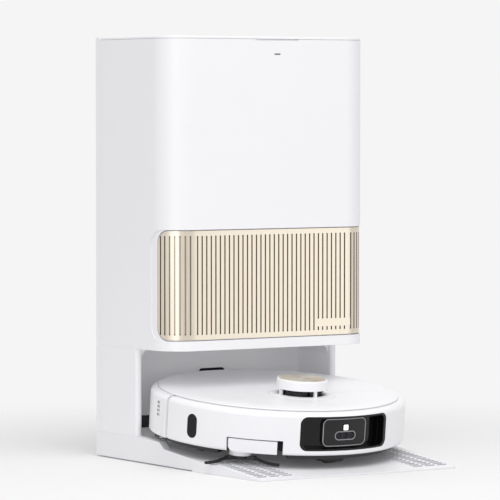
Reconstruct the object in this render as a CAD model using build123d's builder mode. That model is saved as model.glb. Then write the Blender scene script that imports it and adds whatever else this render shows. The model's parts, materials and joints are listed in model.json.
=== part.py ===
"""Robot vacuum docked in its self-emptying, mop-washing base station.

Millimetres, X to the right, Y to the back, Z up, floor at Z = 0.
The station is drawn in place. The robot is drawn level, about its own centre on its own floor,
and is then seated on the sloping plate of the station.
"""
import os
from math import cos, radians, sin, sqrt, tan

from build123d import *

os.makedirs("parts", exist_ok=True)

# Robot's outside, which the docking bay fits round
robot_radius = 177.0
side_inset = 9.0
dock_gap = 3.5
bay_wall_depth = 27.0

# Station, outside
station_width = 2 * (robot_radius - side_inset)
station_height = 590.0
station_depth = 2 * (robot_radius + dock_gap + bay_wall_depth)
tower_depth = 200.0
front_corner = 42.0
rear_corner = 3.0
wall = 3.0
seam = 0.5
fit = 0.3
running_fit = 0.05

# Station, base and docking bay
plate_slope = 5.5
ramp_lip = 2.0
ramp_width = station_width - 14.0
ramp_seam_depth = 257.0
ramp_corner = 8.0
foot_height = 1.5
foot_radius = 10.0
shoulder_height = 36.0
shoulder_drop = 3.0
shoulder_depth = 172.0
shoulder_step = 13.0
pillar_depth = 112.0
pillar_wall = 10.0
pillar_round = 4.5
bay_corner = 10.0
bay_height = 158.0
bay_wall_thick = 4.0
ceiling_thick = 3.0
tread_height = 1.0
tread_length = 15.0
tread_width = 2.4
tread_pitch_x = 20.0
tread_pitch_y = 9.5
tread_columns = 3
tread_rows = 14

# Station, tower
lid_thick = 3.2
lid_round = 1.2
lid_seam = 0.3
lid_notch_width = 70.0
lid_notch_x = 8.0
lid_notch_height = 2.0
lid_notch_depth = 2.0
cover_depth = 14.0
hinge_trough = 20.0
lid_swing = 4.0
hinge_radius = 4.0
hinge_pin_radius = 1.5
hinge_pin_length = 24.0
hinge_inset = 4.5
hinge_half_span = station_width / 2 - 34.0
hinge_ear_width = 8.0
panel_bottom = 173.0
panel_height = 150.0
panel_corner = 18.0
panel_reach = 34.3
panel_recess = 1.4
panel_thick = 4.0
panel_rim = 15.0
panel_rim_deep = 1.5
panel_gap = 1.4
groove_pitch = 7.4
groove_width = 2.2
groove_deep = 1.6
groove_border = 7.0
corner_grooves = 7
corner_margin = 18.0
label_width = 56.0
label_height = 11.0
label_x = station_width / 2 - 64.0
label_z = 190.5
liner_inset = 7.0
liner_wall = 2.5
liner_top = 330.0
liner_window_width = station_width - 86.0
tank_height = 236.0
tank_corner = 34.0
tank_wall = 2.5
tank_gap = 6.0
tank_side = 11.0
tank_width = (station_width - tank_gap) / 2 - tank_side
tank_depth = tower_depth - 36.0
tank_mouth = 24.0
grip_height = 15.0
grip_bar = 5.0
grip_width = 14.0
grip_length = 90.0
bag_width = liner_window_width - 14.0
bag_depth = 74.0
bag_height = 146.0
bag_round = 20.0

# Station, works
motor_radius = 42.0
motor_height = 104.0
motor_x = 70.0 - station_width / 2
motor_y = station_depth / 2 - 69.5
duct_width = 50.0
duct_depth = 17.0
duct_x = station_width / 2 - 72.0
duct_bottom = 82.0
duct_top = 252.0
duct_mouth = 26.0
duct_wall = 1.8
pump_size = 44.0
pump_height = 52.0
pump_x = station_width / 2 - 64.0
pump_y = station_depth / 2 - 77.5
supply_width = station_width - 246.0
supply_depth = 56.0
supply_height = 60.0
supply_y = station_depth / 2 - 57.5
inlet_width = 48.0
inlet_height = 27.0
inlet_length = 18.0
inlet_x = 58.0 - station_width / 2
inlet_z = 78.0
contact_width = 10.0
contact_height = 12.0
contact_x = 28.0
contact_z = 79.0
contact_reach = 8.5
signal_width = 42.0
signal_x = 9.0
signal_bottom = 93.0
signal_height = 26.0
signal_thick = 2.2
screw_radius = 1.5
screw_head_radius = 3.2
screw_head_height = 2.0
station_screw_seat = 20.0
station_screw_end = 48.0

# Robot, shell
robot_stand_off = 0.3
skirt_bottom = 19.0
skirt_top = 77.6
shell_wall = 4.0
skirt_edge = 2.0
rim_radius = robot_radius - 9.8
rim_gap = 0.6
bumper_travel = 4.0
bumper_gap = 5.0
split_y = 5.0
trim_line_y = 17.5
cover_radius = rim_radius - 0.8
cover_seat = 78.0
cover_top = 81.6
groove_fine = 0.5
crescent_radius = robot_radius - 30.0
crescent_angle = 12.0
pan_radius = robot_radius - 13.0
pan_bottom = 12.0
pan_top = 24.5
pan_wall = 3.0

# Robot, front sensors
window_width = robot_radius - 37.0
window_height = 46.5
window_z = 48.5
window_corner = 10.0
window_inner = robot_radius - 17.0
window_frame = 5.0
window_floor = robot_radius - 14.0
block_width = 70.0
block_height = 38.0
block_corner = 8.0
block_face = robot_radius - 9.0
lens_radius = 3.6
lens_spacing = 10.5
lens_z = 44.0
pill_height = 33.0
pill_width = 17.0
pill_angle = 74.0
pill_z = 45.0

# Robot, turret
turret_y = -57.0
turret_flange = 46.0
turret_radius = 36.0
turret_inner = 33.0
turret_floor = 70.0
turret_slot_bottom = 83.2
turret_slot_top = 91.2
turret_top = 104.2
turret_post = 4.0
disc_radius = 32.2
disc_thick = 1.4
rotor_radius = 30.0
rotor_bore = 5.0

# Robot, running gear
wheel_x = 115.0
wheel_radius = 36.0
wheel_width = 20.0
hub_radius = 29.0
axle_radius = 4.0
tread_blocks = 30
gearbox_inner_x = 82.0
gearbox_outer_x = 104.0
gearbox_front = -30.0
gearbox_back = 22.0
gearbox_bottom = 16.0
gearbox_top = 60.0
well_inner_x = 78.0
well_outer_x = 130.0
well_half_length = 41.0
caster_y = 46.0 - robot_radius
caster_radius = 15.0
caster_width = 20.0
caster_fork_radius = 20.5
caster_cup_radius = 21.5
caster_boss_radius = 25.0
caster_fork_bottom = 5.0
caster_fork_top = 37.0
caster_boss_top = 44.0
caster_stem = 4.0
caster_axle = 2.5

# Robot, cleaning gear
brush_y = -30.0
brush_z = 19.0
brush_radius = 18.0
brush_core = 9.0
brush_fins = 7
brush_half_length = 74.0
brush_shaft = 4.0
tunnel_half_length = 80.0
tunnel_half_width = 24.0
tunnel_top = 44.0
tunnel_radius = 19.6
guard_thick = 3.0
guard_half_length = 86.0
guard_half_width = 28.0
arm_pivot_angle = 35.0
arm_pivot_radius = robot_radius - 27.0
arm_start_angle = 33.0
arm_end_angle = 55.0
arm_inner = robot_radius - 49.0
arm_outer = robot_radius - 0.6
arm_bottom = 19.0
arm_top = 36.5
arm_round = 8.0
arm_pin = 4.0
notch_start_angle = 30.5
notch_end_angle = 55.8
notch_top = 38.0
shelf_bottom = 39.5
shelf_top = 43.0
shelf_inner = robot_radius - 73.0
shelf_start_angle = 28.0
shelf_end_angle = 62.0
side_hub_angle = 52.0
side_hub_radius = arm_pivot_radius
side_boss = 15.0
side_boss_bottom = 11.0
side_shaft = 3.0
side_disc = 11.0
side_disc_bottom = 5.6
side_disc_top = 10.6
ferrule_length = 11.5
ferrule_width = 7.0
tuft_count = 3
tuft_heading = 183.0
tuft_bend = 84.0
tuft_fall = 22.0
tuft_curl = 4.0
tuft_clear = 1.4
strand = 0.24
strand_pitch = 0.34
layer_pitch = 0.44
strand_columns = 10
strand_layers = 10
mop_y = robot_radius - 93.0
mop_radius = 66.0
mop_x = mop_radius + 2.0
mop_thick = 6.0
mop_plate_radius = mop_radius - 6.0
mop_plate_thick = 5.0
mop_well_radius = mop_radius + 1.2
mop_roof_bottom = 21.0
mop_roof_top = 24.0
mop_spindle = 5.0
carrier_half_length = 84.0
carrier_depth = 24.0
carrier_thick = 8.0
wash_width = station_width - 40.0
wash_depth = 138.0
wash_corner = 30.0
wash_thick = 11.0
wash_dish = mop_radius + 0.5
wash_dish_deep = 4.0
wash_ribs = 14

# Robot, works
bin_half_width = 74.0
bin_front = 0.0
bin_back = 48.0
bin_top = 70.0
bin_wall = 2.0
fan_x = -52.0
fan_y = robot_radius - 49.0
fan_radius = 28.0
fan_height = 38.0
battery_width = 84.0
battery_depth = 38.0
battery_height = 34.0
battery_x = 43.0
battery_y = robot_radius - 57.0
board_width = 104.0
board_depth = 38.0
board_thick = 1.6
board_y = 51.0 - robot_radius
plate_width = 12.0
plate_height = 14.0
plate_z_local = 40.0
plate_thick = 1.6
ear_radius = 6.5
ear_reach = robot_radius - 8.5
ear_thick = 3.0

# Places that follow from the sizes above
back_y = station_depth / 2
front_y = -station_depth / 2
half_width = station_width / 2
tower_front_y = back_y - tower_depth
pillar_front_y = back_y - pillar_depth
ramp_seam_y = back_y - ramp_seam_depth
shoulder_y = back_y - shoulder_depth
cover_y = back_y - cover_depth
bay_wall_y = back_y - bay_wall_depth
bay_wall_back_y = bay_wall_y + bay_wall_thick
lid_bottom = station_height - lid_thick
shell_top = lid_bottom - lid_seam
ceiling_top = bay_height + ceiling_thick
panel_end_y = tower_front_y + panel_reach
panel_mid_z = panel_bottom + panel_height / 2
hinge_y = back_y - hinge_inset
hinge_z = lid_bottom - hinge_radius - lid_seam
trough_floor = shell_top - hinge_trough + 6.0
rear_inner_y = back_y - wall
plate_rise = tan(radians(plate_slope))
mop_top = mop_thick + mop_plate_thick
arm_pivot = (
    -arm_pivot_radius * sin(radians(arm_pivot_angle)),
    -arm_pivot_radius * cos(radians(arm_pivot_angle)),
)
side_hub = (
    -side_hub_radius * sin(radians(side_hub_angle)),
    -side_hub_radius * cos(radians(side_hub_angle)),
)


def plate_z(y):
    """Height of the sloping plate above the floor."""
    return ramp_lip + (y - front_y) * plate_rise


def on_plate(along):
    """Plane lying on the sloping plate, a distance along it from under the robot's centre."""
    slope = radians(plate_slope)
    origin = (0, along * cos(slope), plate_z(0) + along * sin(slope))
    return Plane(origin=origin, x_dir=(1, 0, 0), z_dir=(0, -sin(slope), cos(slope)))


def facing_front(y):
    """Plane facing the front, with its own Y pointing up."""
    return Plane(origin=(0, y, 0), x_dir=(1, 0, 0), z_dir=(0, -1, 0))


def tower_plan(z, inset, rear_y):
    """Plan of the tower, set in from its outside, with its two round front corners."""
    side = half_width - inset
    front = tower_front_y + inset
    with BuildSketch(Plane.XY.offset(z)) as plan:
        with BuildLine():
            FilletPolyline(
                (-side, rear_y), (-side, front), (side, front), (side, rear_y),
                radius=front_corner - inset,
            )
            Line((side, rear_y), (-side, rear_y))
        make_face()
    return plan.sketch


def panel_side(margin, gap):
    """Side view of the front panel, with round rear ends, longer by a margin and taller by a gap."""
    back = panel_end_y + margin
    front = tower_front_y - 4 * panel_corner
    tall = panel_height + 2 * gap
    with BuildSketch(Plane.YZ) as side:
        with Locations(((front + back) / 2, panel_mid_z)):
            RectangleRounded(back - front, tall, panel_corner + margin / 3)
    return side.sketch


def sector(z, inner, outer, start, end):
    """Slice of a ring on the robot, by angles counted from its front towards its right."""
    reach = outer / cos(radians((end - start) / 2)) + 1.0
    middle = (start + end) / 2
    corners = [(-reach * sin(radians(a)), -reach * cos(radians(a))) for a in (start, middle, end)]
    with BuildSketch(Plane.XY.offset(z)) as slice_of_ring:
        Circle(outer)
        Circle(inner, mode=Mode.SUBTRACT)
        Polygon((0, 0), *corners, align=None, mode=Mode.INTERSECT)
    return slice_of_ring.sketch


def ring(z, inner, outer):
    """Flat ring about the robot's centre."""
    with BuildSketch(Plane.XY.offset(z)) as flat_ring:
        Circle(outer)
        Circle(inner, mode=Mode.SUBTRACT)
    return flat_ring.sketch


# Station base with its shoulders and the pocket for the washboard
with BuildPart() as station_base:
    with BuildSketch(Plane.YZ):
        Polygon(
            (ramp_seam_y, foot_height), (back_y, foot_height), (back_y, shoulder_height),
            (bay_wall_y, shoulder_height), (bay_wall_y, plate_z(bay_wall_y)),
            (ramp_seam_y, plate_z(ramp_seam_y)), align=None,
        )
    extrude(amount=half_width - pillar_wall, both=True)
    with BuildSketch(Plane.YZ.offset(half_width)):
        Polygon(
            (ramp_seam_y, foot_height), (back_y, foot_height), (back_y, shoulder_height),
            (pillar_front_y, shoulder_height), (shoulder_y, shoulder_height - shoulder_drop),
            (shoulder_y - shoulder_step, plate_z(shoulder_y - shoulder_step)),
            (ramp_seam_y, plate_z(ramp_seam_y)), align=None,
        )
    extrude(amount=-pillar_wall)
    mirror(about=Plane.YZ)
    fillet(station_base.edges().filter_by(Axis.Z).group_by(Axis.Y)[-1], rear_corner)
    with BuildSketch(on_plate(mop_y)):
        RectangleRounded(wash_width + 2 * fit, wash_depth + 2 * fit, wash_corner + fit)
    extrude(amount=-wash_thick, mode=Mode.SUBTRACT)
    feet_y = (back_y + ramp_seam_y) / 2
    with BuildSketch(Plane.XY.offset(foot_height)):
        with Locations((0, feet_y)):
            with GridLocations(station_width - 60, back_y - ramp_seam_y - 50, 2, 2):
                Circle(foot_radius + fit)
    extrude(amount=foot_height, mode=Mode.SUBTRACT)
    screw_row_y = (pillar_front_y + cover_y) / 2
    with BuildSketch(Plane.XY.offset(foot_height)):
        with Locations((0, screw_row_y)):
            with GridLocations(station_width - pillar_wall, pillar_depth / 2, 2, 2):
                Circle(screw_head_radius + fit)
    extrude(amount=station_screw_seat + screw_head_height - foot_height, mode=Mode.SUBTRACT)
    with BuildSketch(Plane.XY.offset(station_screw_seat)):
        with Locations((0, screw_row_y)):
            with GridLocations(station_width - pillar_wall, pillar_depth / 2, 2, 2):
                Circle(screw_radius + fit)
    extrude(amount=shoulder_height, mode=Mode.SUBTRACT)

# Clip-on ramp with anti-slip dashes on both side strips
with BuildPart() as ramp_plate:
    with BuildSketch(Plane.YZ):
        Polygon(
            (front_y, 0), (ramp_seam_y, 0), (ramp_seam_y, plate_z(ramp_seam_y)),
            (front_y, ramp_lip), align=None,
        )
    extrude(amount=half_width, both=True)
    with BuildSketch(Plane.XY):
        Polygon(
            (-half_width, ramp_seam_y), (half_width, ramp_seam_y), (ramp_width / 2, front_y),
            (-ramp_width / 2, front_y), align=None,
        )
    extrude(amount=shoulder_height, mode=Mode.INTERSECT)
    fillet(ramp_plate.edges().filter_by(Axis.Z).group_by(Axis.Y)[0], ramp_corner)
    tread_middle = (ramp_seam_y + front_y) / 2 / cos(radians(plate_slope))
    tread_x = ramp_width / 2 - tread_pitch_x * tread_columns / 2 - 4.0
    with BuildSketch(on_plate(tread_middle).offset(-fit)):
        with Locations((-tread_x, 0), (tread_x, 0)):
            with GridLocations(tread_pitch_x, tread_pitch_y, tread_columns, tread_rows):
                Rectangle(tread_length, tread_width)
    extrude(amount=tread_height + fit)

# Washboard: a tray with a ribbed dish under each mop
with BuildPart() as washboard:
    with BuildSketch(on_plate(mop_y)):
        RectangleRounded(wash_width, wash_depth, wash_corner)
    extrude(amount=-wash_thick)
    with BuildSketch(on_plate(mop_y)):
        with Locations((-mop_x, 0), (mop_x, 0)):
            Circle(wash_dish)
    extrude(amount=-wash_dish_deep, mode=Mode.SUBTRACT)
    with BuildSketch(on_plate(mop_y).offset(-wash_dish_deep)):
        with Locations((-mop_x, 0), (mop_x, 0)):
            with PolarLocations(wash_dish / 2, wash_ribs):
                Rectangle(wash_dish * 0.7, 3.0)
    extrude(amount=wash_dish_deep)

# Side walls of the docking bay
with BuildPart() as left_side_wall:
    with BuildSketch(Plane.XY.offset(shoulder_height)):
        with Locations((-half_width + pillar_wall / 2, (pillar_front_y + cover_y) / 2)):
            Rectangle(pillar_wall, cover_y - pillar_front_y)
    extrude(amount=bay_height - shoulder_height)
    fillet(left_side_wall.edges().filter_by(Axis.Z).group_by(Axis.Y)[0], pillar_round)
    with BuildSketch(facing_front(bay_wall_y - fit)):
        with Locations((-half_width + pillar_wall, bay_height)):
            Rectangle(bay_corner, bay_corner + 1, align=(Align.MIN, Align.MAX))
        with Locations((-half_width + pillar_wall + bay_corner, bay_height - bay_corner - 1)):
            Circle(bay_corner, mode=Mode.SUBTRACT)
    extrude(amount=bay_wall_y - fit - pillar_front_y - pillar_round)
    with BuildSketch(Plane.XY.offset(shoulder_height)):
        with Locations((-half_width + pillar_wall / 2, screw_row_y)):
            with GridLocations(0, pillar_depth / 2, 1, 2):
                Circle(screw_radius + running_fit)
    extrude(amount=station_screw_end - shoulder_height, mode=Mode.SUBTRACT)

with BuildPart() as right_side_wall:
    mirror(left_side_wall.part, about=Plane.YZ)

# Back wall of the bay, with the dust port, the contact slots and the seat of the signal window
with BuildPart() as bay_back_wall:
    with BuildSketch(Plane.XY.offset(shoulder_height)):
        with Locations((0, bay_wall_y + bay_wall_thick / 2)):
            Rectangle(station_width - 2 * pillar_wall, bay_wall_thick)
    extrude(amount=bay_height - shoulder_height)
    with BuildSketch(facing_front(bay_wall_y)):
        with Locations((duct_x, duct_bottom + duct_mouth / 2)):
            Rectangle(duct_width - 2 * duct_wall, duct_mouth - 2 * duct_wall)
        with Locations((-contact_x, contact_z), (contact_x, contact_z)):
            Rectangle(contact_width + 2 * fit, contact_height + 2 * fit)
    extrude(amount=-bay_wall_thick, mode=Mode.SUBTRACT)
    with BuildSketch(facing_front(bay_wall_y)):
        with Locations((signal_x, signal_bottom + signal_height / 2)):
            RectangleRounded(signal_width, signal_height, 4.0)
    extrude(amount=-signal_thick / 2, mode=Mode.SUBTRACT)

with BuildPart() as signal_window:
    with BuildSketch(facing_front(bay_wall_y + signal_thick / 2)):
        with Locations((signal_x, signal_bottom + signal_height / 2)):
            RectangleRounded(signal_width - 2 * running_fit, signal_height - 2 * running_fit, 4.0)
    extrude(amount=signal_thick)

# Ceiling of the bay, which closes the tower from below
ceiling_plan = tower_plan(bay_height, wall + running_fit, bay_wall_back_y)
with BuildPart() as bay_ceiling:
    extrude(ceiling_plan, amount=ceiling_thick)

# Tower shell: front, corners and sides in one moulding, open for the front panel
shell_outline = tower_plan(bay_height, 0, cover_y)
shell_inside = tower_plan(bay_height, wall, cover_y)
rim_inside = tower_plan(bay_height, panel_rim_deep, cover_y)
opening_side = panel_side(panel_gap, panel_gap)
rim_side = panel_side(panel_rim, panel_gap)
with BuildPart() as panel_seat:
    extrude(shell_outline, amount=shell_top - bay_height)
    extrude(rim_inside, amount=shell_top - bay_height, mode=Mode.SUBTRACT)
    extrude(rim_side, amount=station_width, both=True, mode=Mode.INTERSECT)

with BuildPart() as tower_shell:
    extrude(shell_outline, amount=shell_top - bay_height)
    extrude(shell_inside, amount=shell_top - bay_height, mode=Mode.SUBTRACT)
    add(panel_seat.part, mode=Mode.SUBTRACT)
    extrude(opening_side, amount=station_width, both=True, mode=Mode.SUBTRACT)
    with BuildSketch(facing_front(tower_front_y)):
        with Locations((lid_notch_x, shell_top - lid_notch_height / 2)):
            Rectangle(lid_notch_width, lid_notch_height)
    extrude(amount=-lid_notch_depth, mode=Mode.SUBTRACT)

# Liner behind the front panel: it backs the panel, holds the bag and carries the tanks
liner_outside = tower_plan(ceiling_top, liner_inset, bay_wall_back_y)
liner_inside = tower_plan(ceiling_top, liner_inset + liner_wall, bay_wall_back_y)
liner_deck = tower_plan(liner_top - liner_wall, wall + running_fit, bay_wall_back_y)
with BuildPart() as compartment_liner:
    extrude(liner_outside, amount=liner_top - ceiling_top)
    extrude(liner_inside, amount=liner_top - ceiling_top, mode=Mode.SUBTRACT)
    extrude(liner_deck, amount=liner_wall)
    with BuildSketch(facing_front(tower_front_y)):
        with Locations((0, panel_mid_z)):
            RectangleRounded(liner_window_width, panel_height - 4 * groove_border, panel_corner)
    extrude(amount=-liner_inset - 2 * liner_wall, mode=Mode.SUBTRACT)

# Ribbed front panel, which pulls off to the front
panel_outside = tower_plan(panel_bottom, panel_recess, panel_end_y + panel_rim)
panel_inside = tower_plan(panel_bottom, panel_recess + panel_thick, panel_end_y + panel_rim)
panel_outline = panel_side(0, 0)
corner_y = tower_front_y + front_corner
groove_bottom = panel_bottom + groove_border
groove_height = panel_height - 2 * groove_border
groove_count = int((station_width - 2 * front_corner) / groove_pitch)
with BuildPart() as front_panel:
    extrude(panel_outside, amount=panel_height)
    extrude(panel_inside, amount=panel_height, mode=Mode.SUBTRACT)
    extrude(panel_outline, amount=station_width, both=True, mode=Mode.INTERSECT)
    corner_x = half_width - front_corner
    groove_arc = 90.0 - corner_margin
    groove_step = groove_arc / corner_grooves
    with BuildSketch(Plane.XY.offset(groove_bottom)):
        with Locations((0, tower_front_y + panel_recess)):
            with GridLocations(groove_pitch, 0, groove_count, 1):
                Rectangle(groove_width, 2 * groove_deep)
        with Locations((-corner_x, corner_y)):
            with PolarLocations(
                front_corner - panel_recess, corner_grooves, 180.0 + corner_margin, groove_arc
            ):
                Rectangle(2 * groove_deep, groove_width)
        with Locations((corner_x, corner_y)):
            with PolarLocations(
                front_corner - panel_recess, corner_grooves, 270.0 + groove_step, groove_arc
            ):
                Rectangle(2 * groove_deep, groove_width)
    extrude(amount=groove_height, mode=Mode.SUBTRACT)
    with BuildSketch(facing_front(tower_front_y + panel_recess)):
        with Locations((label_x, label_z)):
            Rectangle(label_width, label_height)
    extrude(amount=-groove_deep - fit)
    pad_depth = liner_inset - panel_recess - panel_thick
    with BuildSketch(facing_front(tower_front_y + liner_inset - 2 * running_fit)):
        with Locations((0, panel_mid_z)):
            with GridLocations(liner_window_width + 14, panel_height - 40, 2, 2):
                Rectangle(10, 14)
    extrude(amount=pad_depth + fit)

# Rear cover: a tray with the hinge trough, the hinge ears (closed to the sides) and the hole for the
# power inlet
with BuildPart() as rear_cover:
    with BuildSketch(Plane.XY.offset(shoulder_height)):
        with BuildLine():
            FilletPolyline(
                (-half_width, cover_y), (-half_width, back_y), (half_width, back_y),
                (half_width, cover_y), radius=rear_corner,
            )
            Line((half_width, cover_y), (-half_width, cover_y))
        make_face()
    extrude(amount=station_height - fit - shoulder_height)
    hollow_height = trough_floor - wall - shoulder_height - wall
    with BuildSketch(Plane.XY.offset(shoulder_height + wall)):
        with Locations((0, cover_y + (cover_depth - wall) / 2)):
            Rectangle(station_width - 2 * rear_corner, cover_depth - wall)
    extrude(amount=hollow_height, mode=Mode.SUBTRACT)
    with BuildSketch(Plane.XY.offset(trough_floor)):
        with Locations((0, cover_y + cover_depth / 2)):
            Rectangle(station_width - 2 * wall, cover_depth)
    extrude(amount=station_height - trough_floor, mode=Mode.SUBTRACT)
    with BuildSketch(Plane.YZ):
        Polygon(
            (cover_y, shell_top), (cover_y + lid_swing, station_height), (cover_y, station_height),
            align=None,
        )
    extrude(amount=station_width, both=True, mode=Mode.SUBTRACT)
    ear_x = hinge_half_span - hinge_ear_width
    with BuildSketch(Plane.YZ.offset(ear_x)):
        with Locations((hinge_y, hinge_z)):
            Circle(hinge_radius)
        with Locations((hinge_y, (hinge_z + trough_floor) / 2 - fit)):
            Rectangle(2 * hinge_radius, hinge_z - trough_floor + 2 * fit)
        with Locations((hinge_y, hinge_z)):
            Circle(hinge_pin_radius + running_fit, mode=Mode.SUBTRACT)
    extrude(amount=hinge_ear_width)
    with BuildSketch(Plane.YZ.offset(-hinge_half_span)):
        with Locations((hinge_y, hinge_z)):
            Circle(hinge_radius)
        with Locations((hinge_y, (hinge_z + trough_floor) / 2 - fit)):
            Rectangle(2 * hinge_radius, hinge_z - trough_floor + 2 * fit)
        with Locations((hinge_y, hinge_z)):
            Circle(hinge_pin_radius + running_fit, mode=Mode.SUBTRACT)
    extrude(amount=hinge_ear_width)
    for start in (hinge_half_span, wall - half_width - fit):
        with BuildSketch(Plane.YZ.offset(start)):
            with Locations((hinge_y, hinge_z)):
                Circle(hinge_radius)
            with Locations((hinge_y, (hinge_z + trough_floor) / 2 - fit)):
                Rectangle(2 * hinge_radius, hinge_z - trough_floor + 2 * fit)
        extrude(amount=half_width - wall - hinge_half_span + fit)
    with BuildSketch(facing_front(back_y)):
        with Locations((inlet_x, inlet_z)):
            RectangleRounded(inlet_width + 2 * running_fit, inlet_height + 2 * running_fit, 4.0)
    extrude(amount=cover_depth, mode=Mode.SUBTRACT)

# Lid over the tanks, with the hinge barrel under its rear edge
barrel_half = ear_x - fit
lid_outline = tower_plan(lid_bottom, 0, back_y - lid_round)
with BuildPart() as top_lid:
    extrude(lid_outline, amount=lid_thick)
    fillet(top_lid.faces().sort_by(Axis.Z)[-1].edges(), lid_round)
    with BuildSketch(Plane.XY.offset(lid_bottom)):
        with Locations((-half_width, back_y), (half_width, back_y)):
            Rectangle(2 * wall + 2 * seam, 2 * cover_depth + 2 * seam)
    extrude(amount=lid_thick, mode=Mode.SUBTRACT)
    with BuildSketch(Plane.YZ.offset(-barrel_half)):
        with Locations((hinge_y, hinge_z)):
            Circle(hinge_radius)
        with Locations((hinge_y, (hinge_z + lid_bottom) / 2 + fit)):
            Rectangle(1.5 * hinge_radius, lid_bottom - hinge_z + 2 * fit)
    extrude(amount=2 * barrel_half)
    with BuildSketch(Plane.YZ.offset(-barrel_half)):
        with Locations((hinge_y, hinge_z)):
            Circle(hinge_pin_radius + running_fit)
    extrude(amount=hinge_pin_length - hinge_ear_width, mode=Mode.SUBTRACT)
    with BuildSketch(Plane.YZ.offset(barrel_half)):
        with Locations((hinge_y, hinge_z)):
            Circle(hinge_pin_radius + running_fit)
    extrude(amount=hinge_ear_width - hinge_pin_length, mode=Mode.SUBTRACT)

with BuildPart() as lid_hinge_pins:
    with BuildSketch(Plane.YZ.offset(-hinge_half_span)):
        with Locations((hinge_y, hinge_z)):
            Circle(hinge_pin_radius)
    extrude(amount=hinge_pin_length - fit)
    with BuildSketch(Plane.YZ.offset(hinge_half_span)):
        with Locations((hinge_y, hinge_z)):
            Circle(hinge_pin_radius)
    extrude(amount=fit - hinge_pin_length)

# Water tanks with their filling mouths and grips, standing on the liner's deck
tank_x = tank_width / 2 + tank_gap / 2
tank_y = tower_front_y + wall + 5.0 + tank_depth / 2
with BuildPart() as clean_water_tank:
    with BuildSketch(Plane.XY.offset(liner_top)):
        with Locations((-tank_x, tank_y)):
            RectangleRounded(tank_width, tank_depth, tank_corner)
    extrude(amount=tank_height)
    with BuildSketch(Plane.XY.offset(liner_top + tank_wall)):
        with Locations((-tank_x, tank_y)):
            RectangleRounded(
                tank_width - 2 * tank_wall, tank_depth - 2 * tank_wall, tank_corner - tank_wall
            )
    extrude(amount=tank_height - 2 * tank_wall, mode=Mode.SUBTRACT)
    with BuildSketch(Plane.XY.offset(liner_top + tank_height - tank_wall)):
        with Locations((-tank_x, tank_y + tank_depth / 4)):
            Circle(tank_mouth)
    extrude(amount=tank_wall, mode=Mode.SUBTRACT)
    grip_y = tank_y - tank_depth / 8
    grip_base = liner_top + tank_height
    with BuildSketch(facing_front(grip_y)):
        with Locations((-tank_x, grip_base)):
            Rectangle(grip_length, grip_height, align=(Align.CENTER, Align.MIN))
            Rectangle(
                grip_length - 2 * grip_bar, grip_height - grip_bar,
                align=(Align.CENTER, Align.MIN), mode=Mode.SUBTRACT,
            )
    extrude(amount=-grip_width)

with BuildPart() as dirty_water_tank:
    mirror(clean_water_tank.part, about=Plane.YZ)

# Works inside the tower
with BuildPart() as dust_bag:
    bag_y = tower_front_y + liner_inset + liner_wall + 4.0 + bag_depth / 2
    with BuildSketch(Plane.XY.offset(ceiling_top + fit)):
        with Locations((0, bag_y)):
            Rectangle(bag_width, bag_depth)
    extrude(amount=bag_height)
    fillet(dust_bag.edges(), bag_round)

with BuildPart() as dust_duct:
    duct_front = bag_y + bag_depth / 2 + 1.0
    duct_low = duct_top - duct_mouth
    with BuildSketch(Plane.YZ.offset(duct_x - duct_width / 2)):
        Polygon(
            (bay_wall_back_y, duct_bottom), (bay_wall_back_y + duct_depth, duct_bottom),
            (bay_wall_back_y + duct_depth, duct_top), (duct_front, duct_top),
            (duct_front, duct_low), (bay_wall_back_y, duct_low), align=None,
        )
    extrude(amount=duct_width)
    with BuildSketch(Plane.YZ.offset(duct_x - duct_width / 2 + duct_wall)):
        Polygon(
            (bay_wall_back_y + duct_wall, duct_bottom + duct_wall),
            (bay_wall_back_y + duct_depth - duct_wall, duct_bottom + duct_wall),
            (bay_wall_back_y + duct_depth - duct_wall, duct_top - duct_wall),
            (duct_front, duct_top - duct_wall), (duct_front, duct_low + duct_wall),
            (bay_wall_back_y + duct_wall, duct_low + duct_wall), align=None,
        )
        with Locations((bay_wall_back_y, duct_bottom + duct_mouth / 2)):
            Rectangle(4 * duct_wall, duct_mouth - 2 * duct_wall)
    extrude(amount=duct_width - 2 * duct_wall, mode=Mode.SUBTRACT)

with BuildPart() as suction_motor:
    with BuildSketch(Plane.XY.offset(ceiling_top)):
        with Locations((motor_x, motor_y)):
            Circle(motor_radius)
    extrude(amount=motor_height)
    fillet(suction_motor.faces().sort_by(Axis.Z)[-1].edges(), motor_radius / 5)

with BuildPart() as water_pump:
    with BuildSketch(Plane.XY.offset(ceiling_top)):
        with Locations((pump_x, pump_y)):
            RectangleRounded(pump_size, pump_size, pump_size / 8)
    extrude(amount=pump_height * 0.6)
    with BuildSketch(Plane.XY.offset(ceiling_top + pump_height * 0.6)):
        with Locations((pump_x, pump_y)):
            Circle(pump_size * 0.4)
    extrude(amount=pump_height * 0.4)

with BuildPart() as power_supply:
    with BuildSketch(Plane.XY.offset(ceiling_top)):
        with Locations((0, supply_y)):
            RectangleRounded(supply_width, supply_depth, 3.0)
    extrude(amount=supply_height)

with BuildPart() as power_inlet:
    with BuildSketch(facing_front(back_y)):
        with Locations((inlet_x, inlet_z)):
            RectangleRounded(inlet_width, inlet_height, 4.0)
    extrude(amount=inlet_length)
    with BuildSketch(facing_front(back_y)):
        with Locations((inlet_x, inlet_z)):
            SlotOverall(inlet_width * 0.7, inlet_height * 0.6)
    extrude(amount=inlet_length * 0.8, mode=Mode.SUBTRACT)
    with BuildSketch(facing_front(back_y - inlet_length * 0.8)):
        with Locations((inlet_x, inlet_z)):
            with GridLocations(inlet_width * 0.3, 0, 2, 1):
                Circle(1.2)
    extrude(amount=-inlet_length * 0.6)

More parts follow.
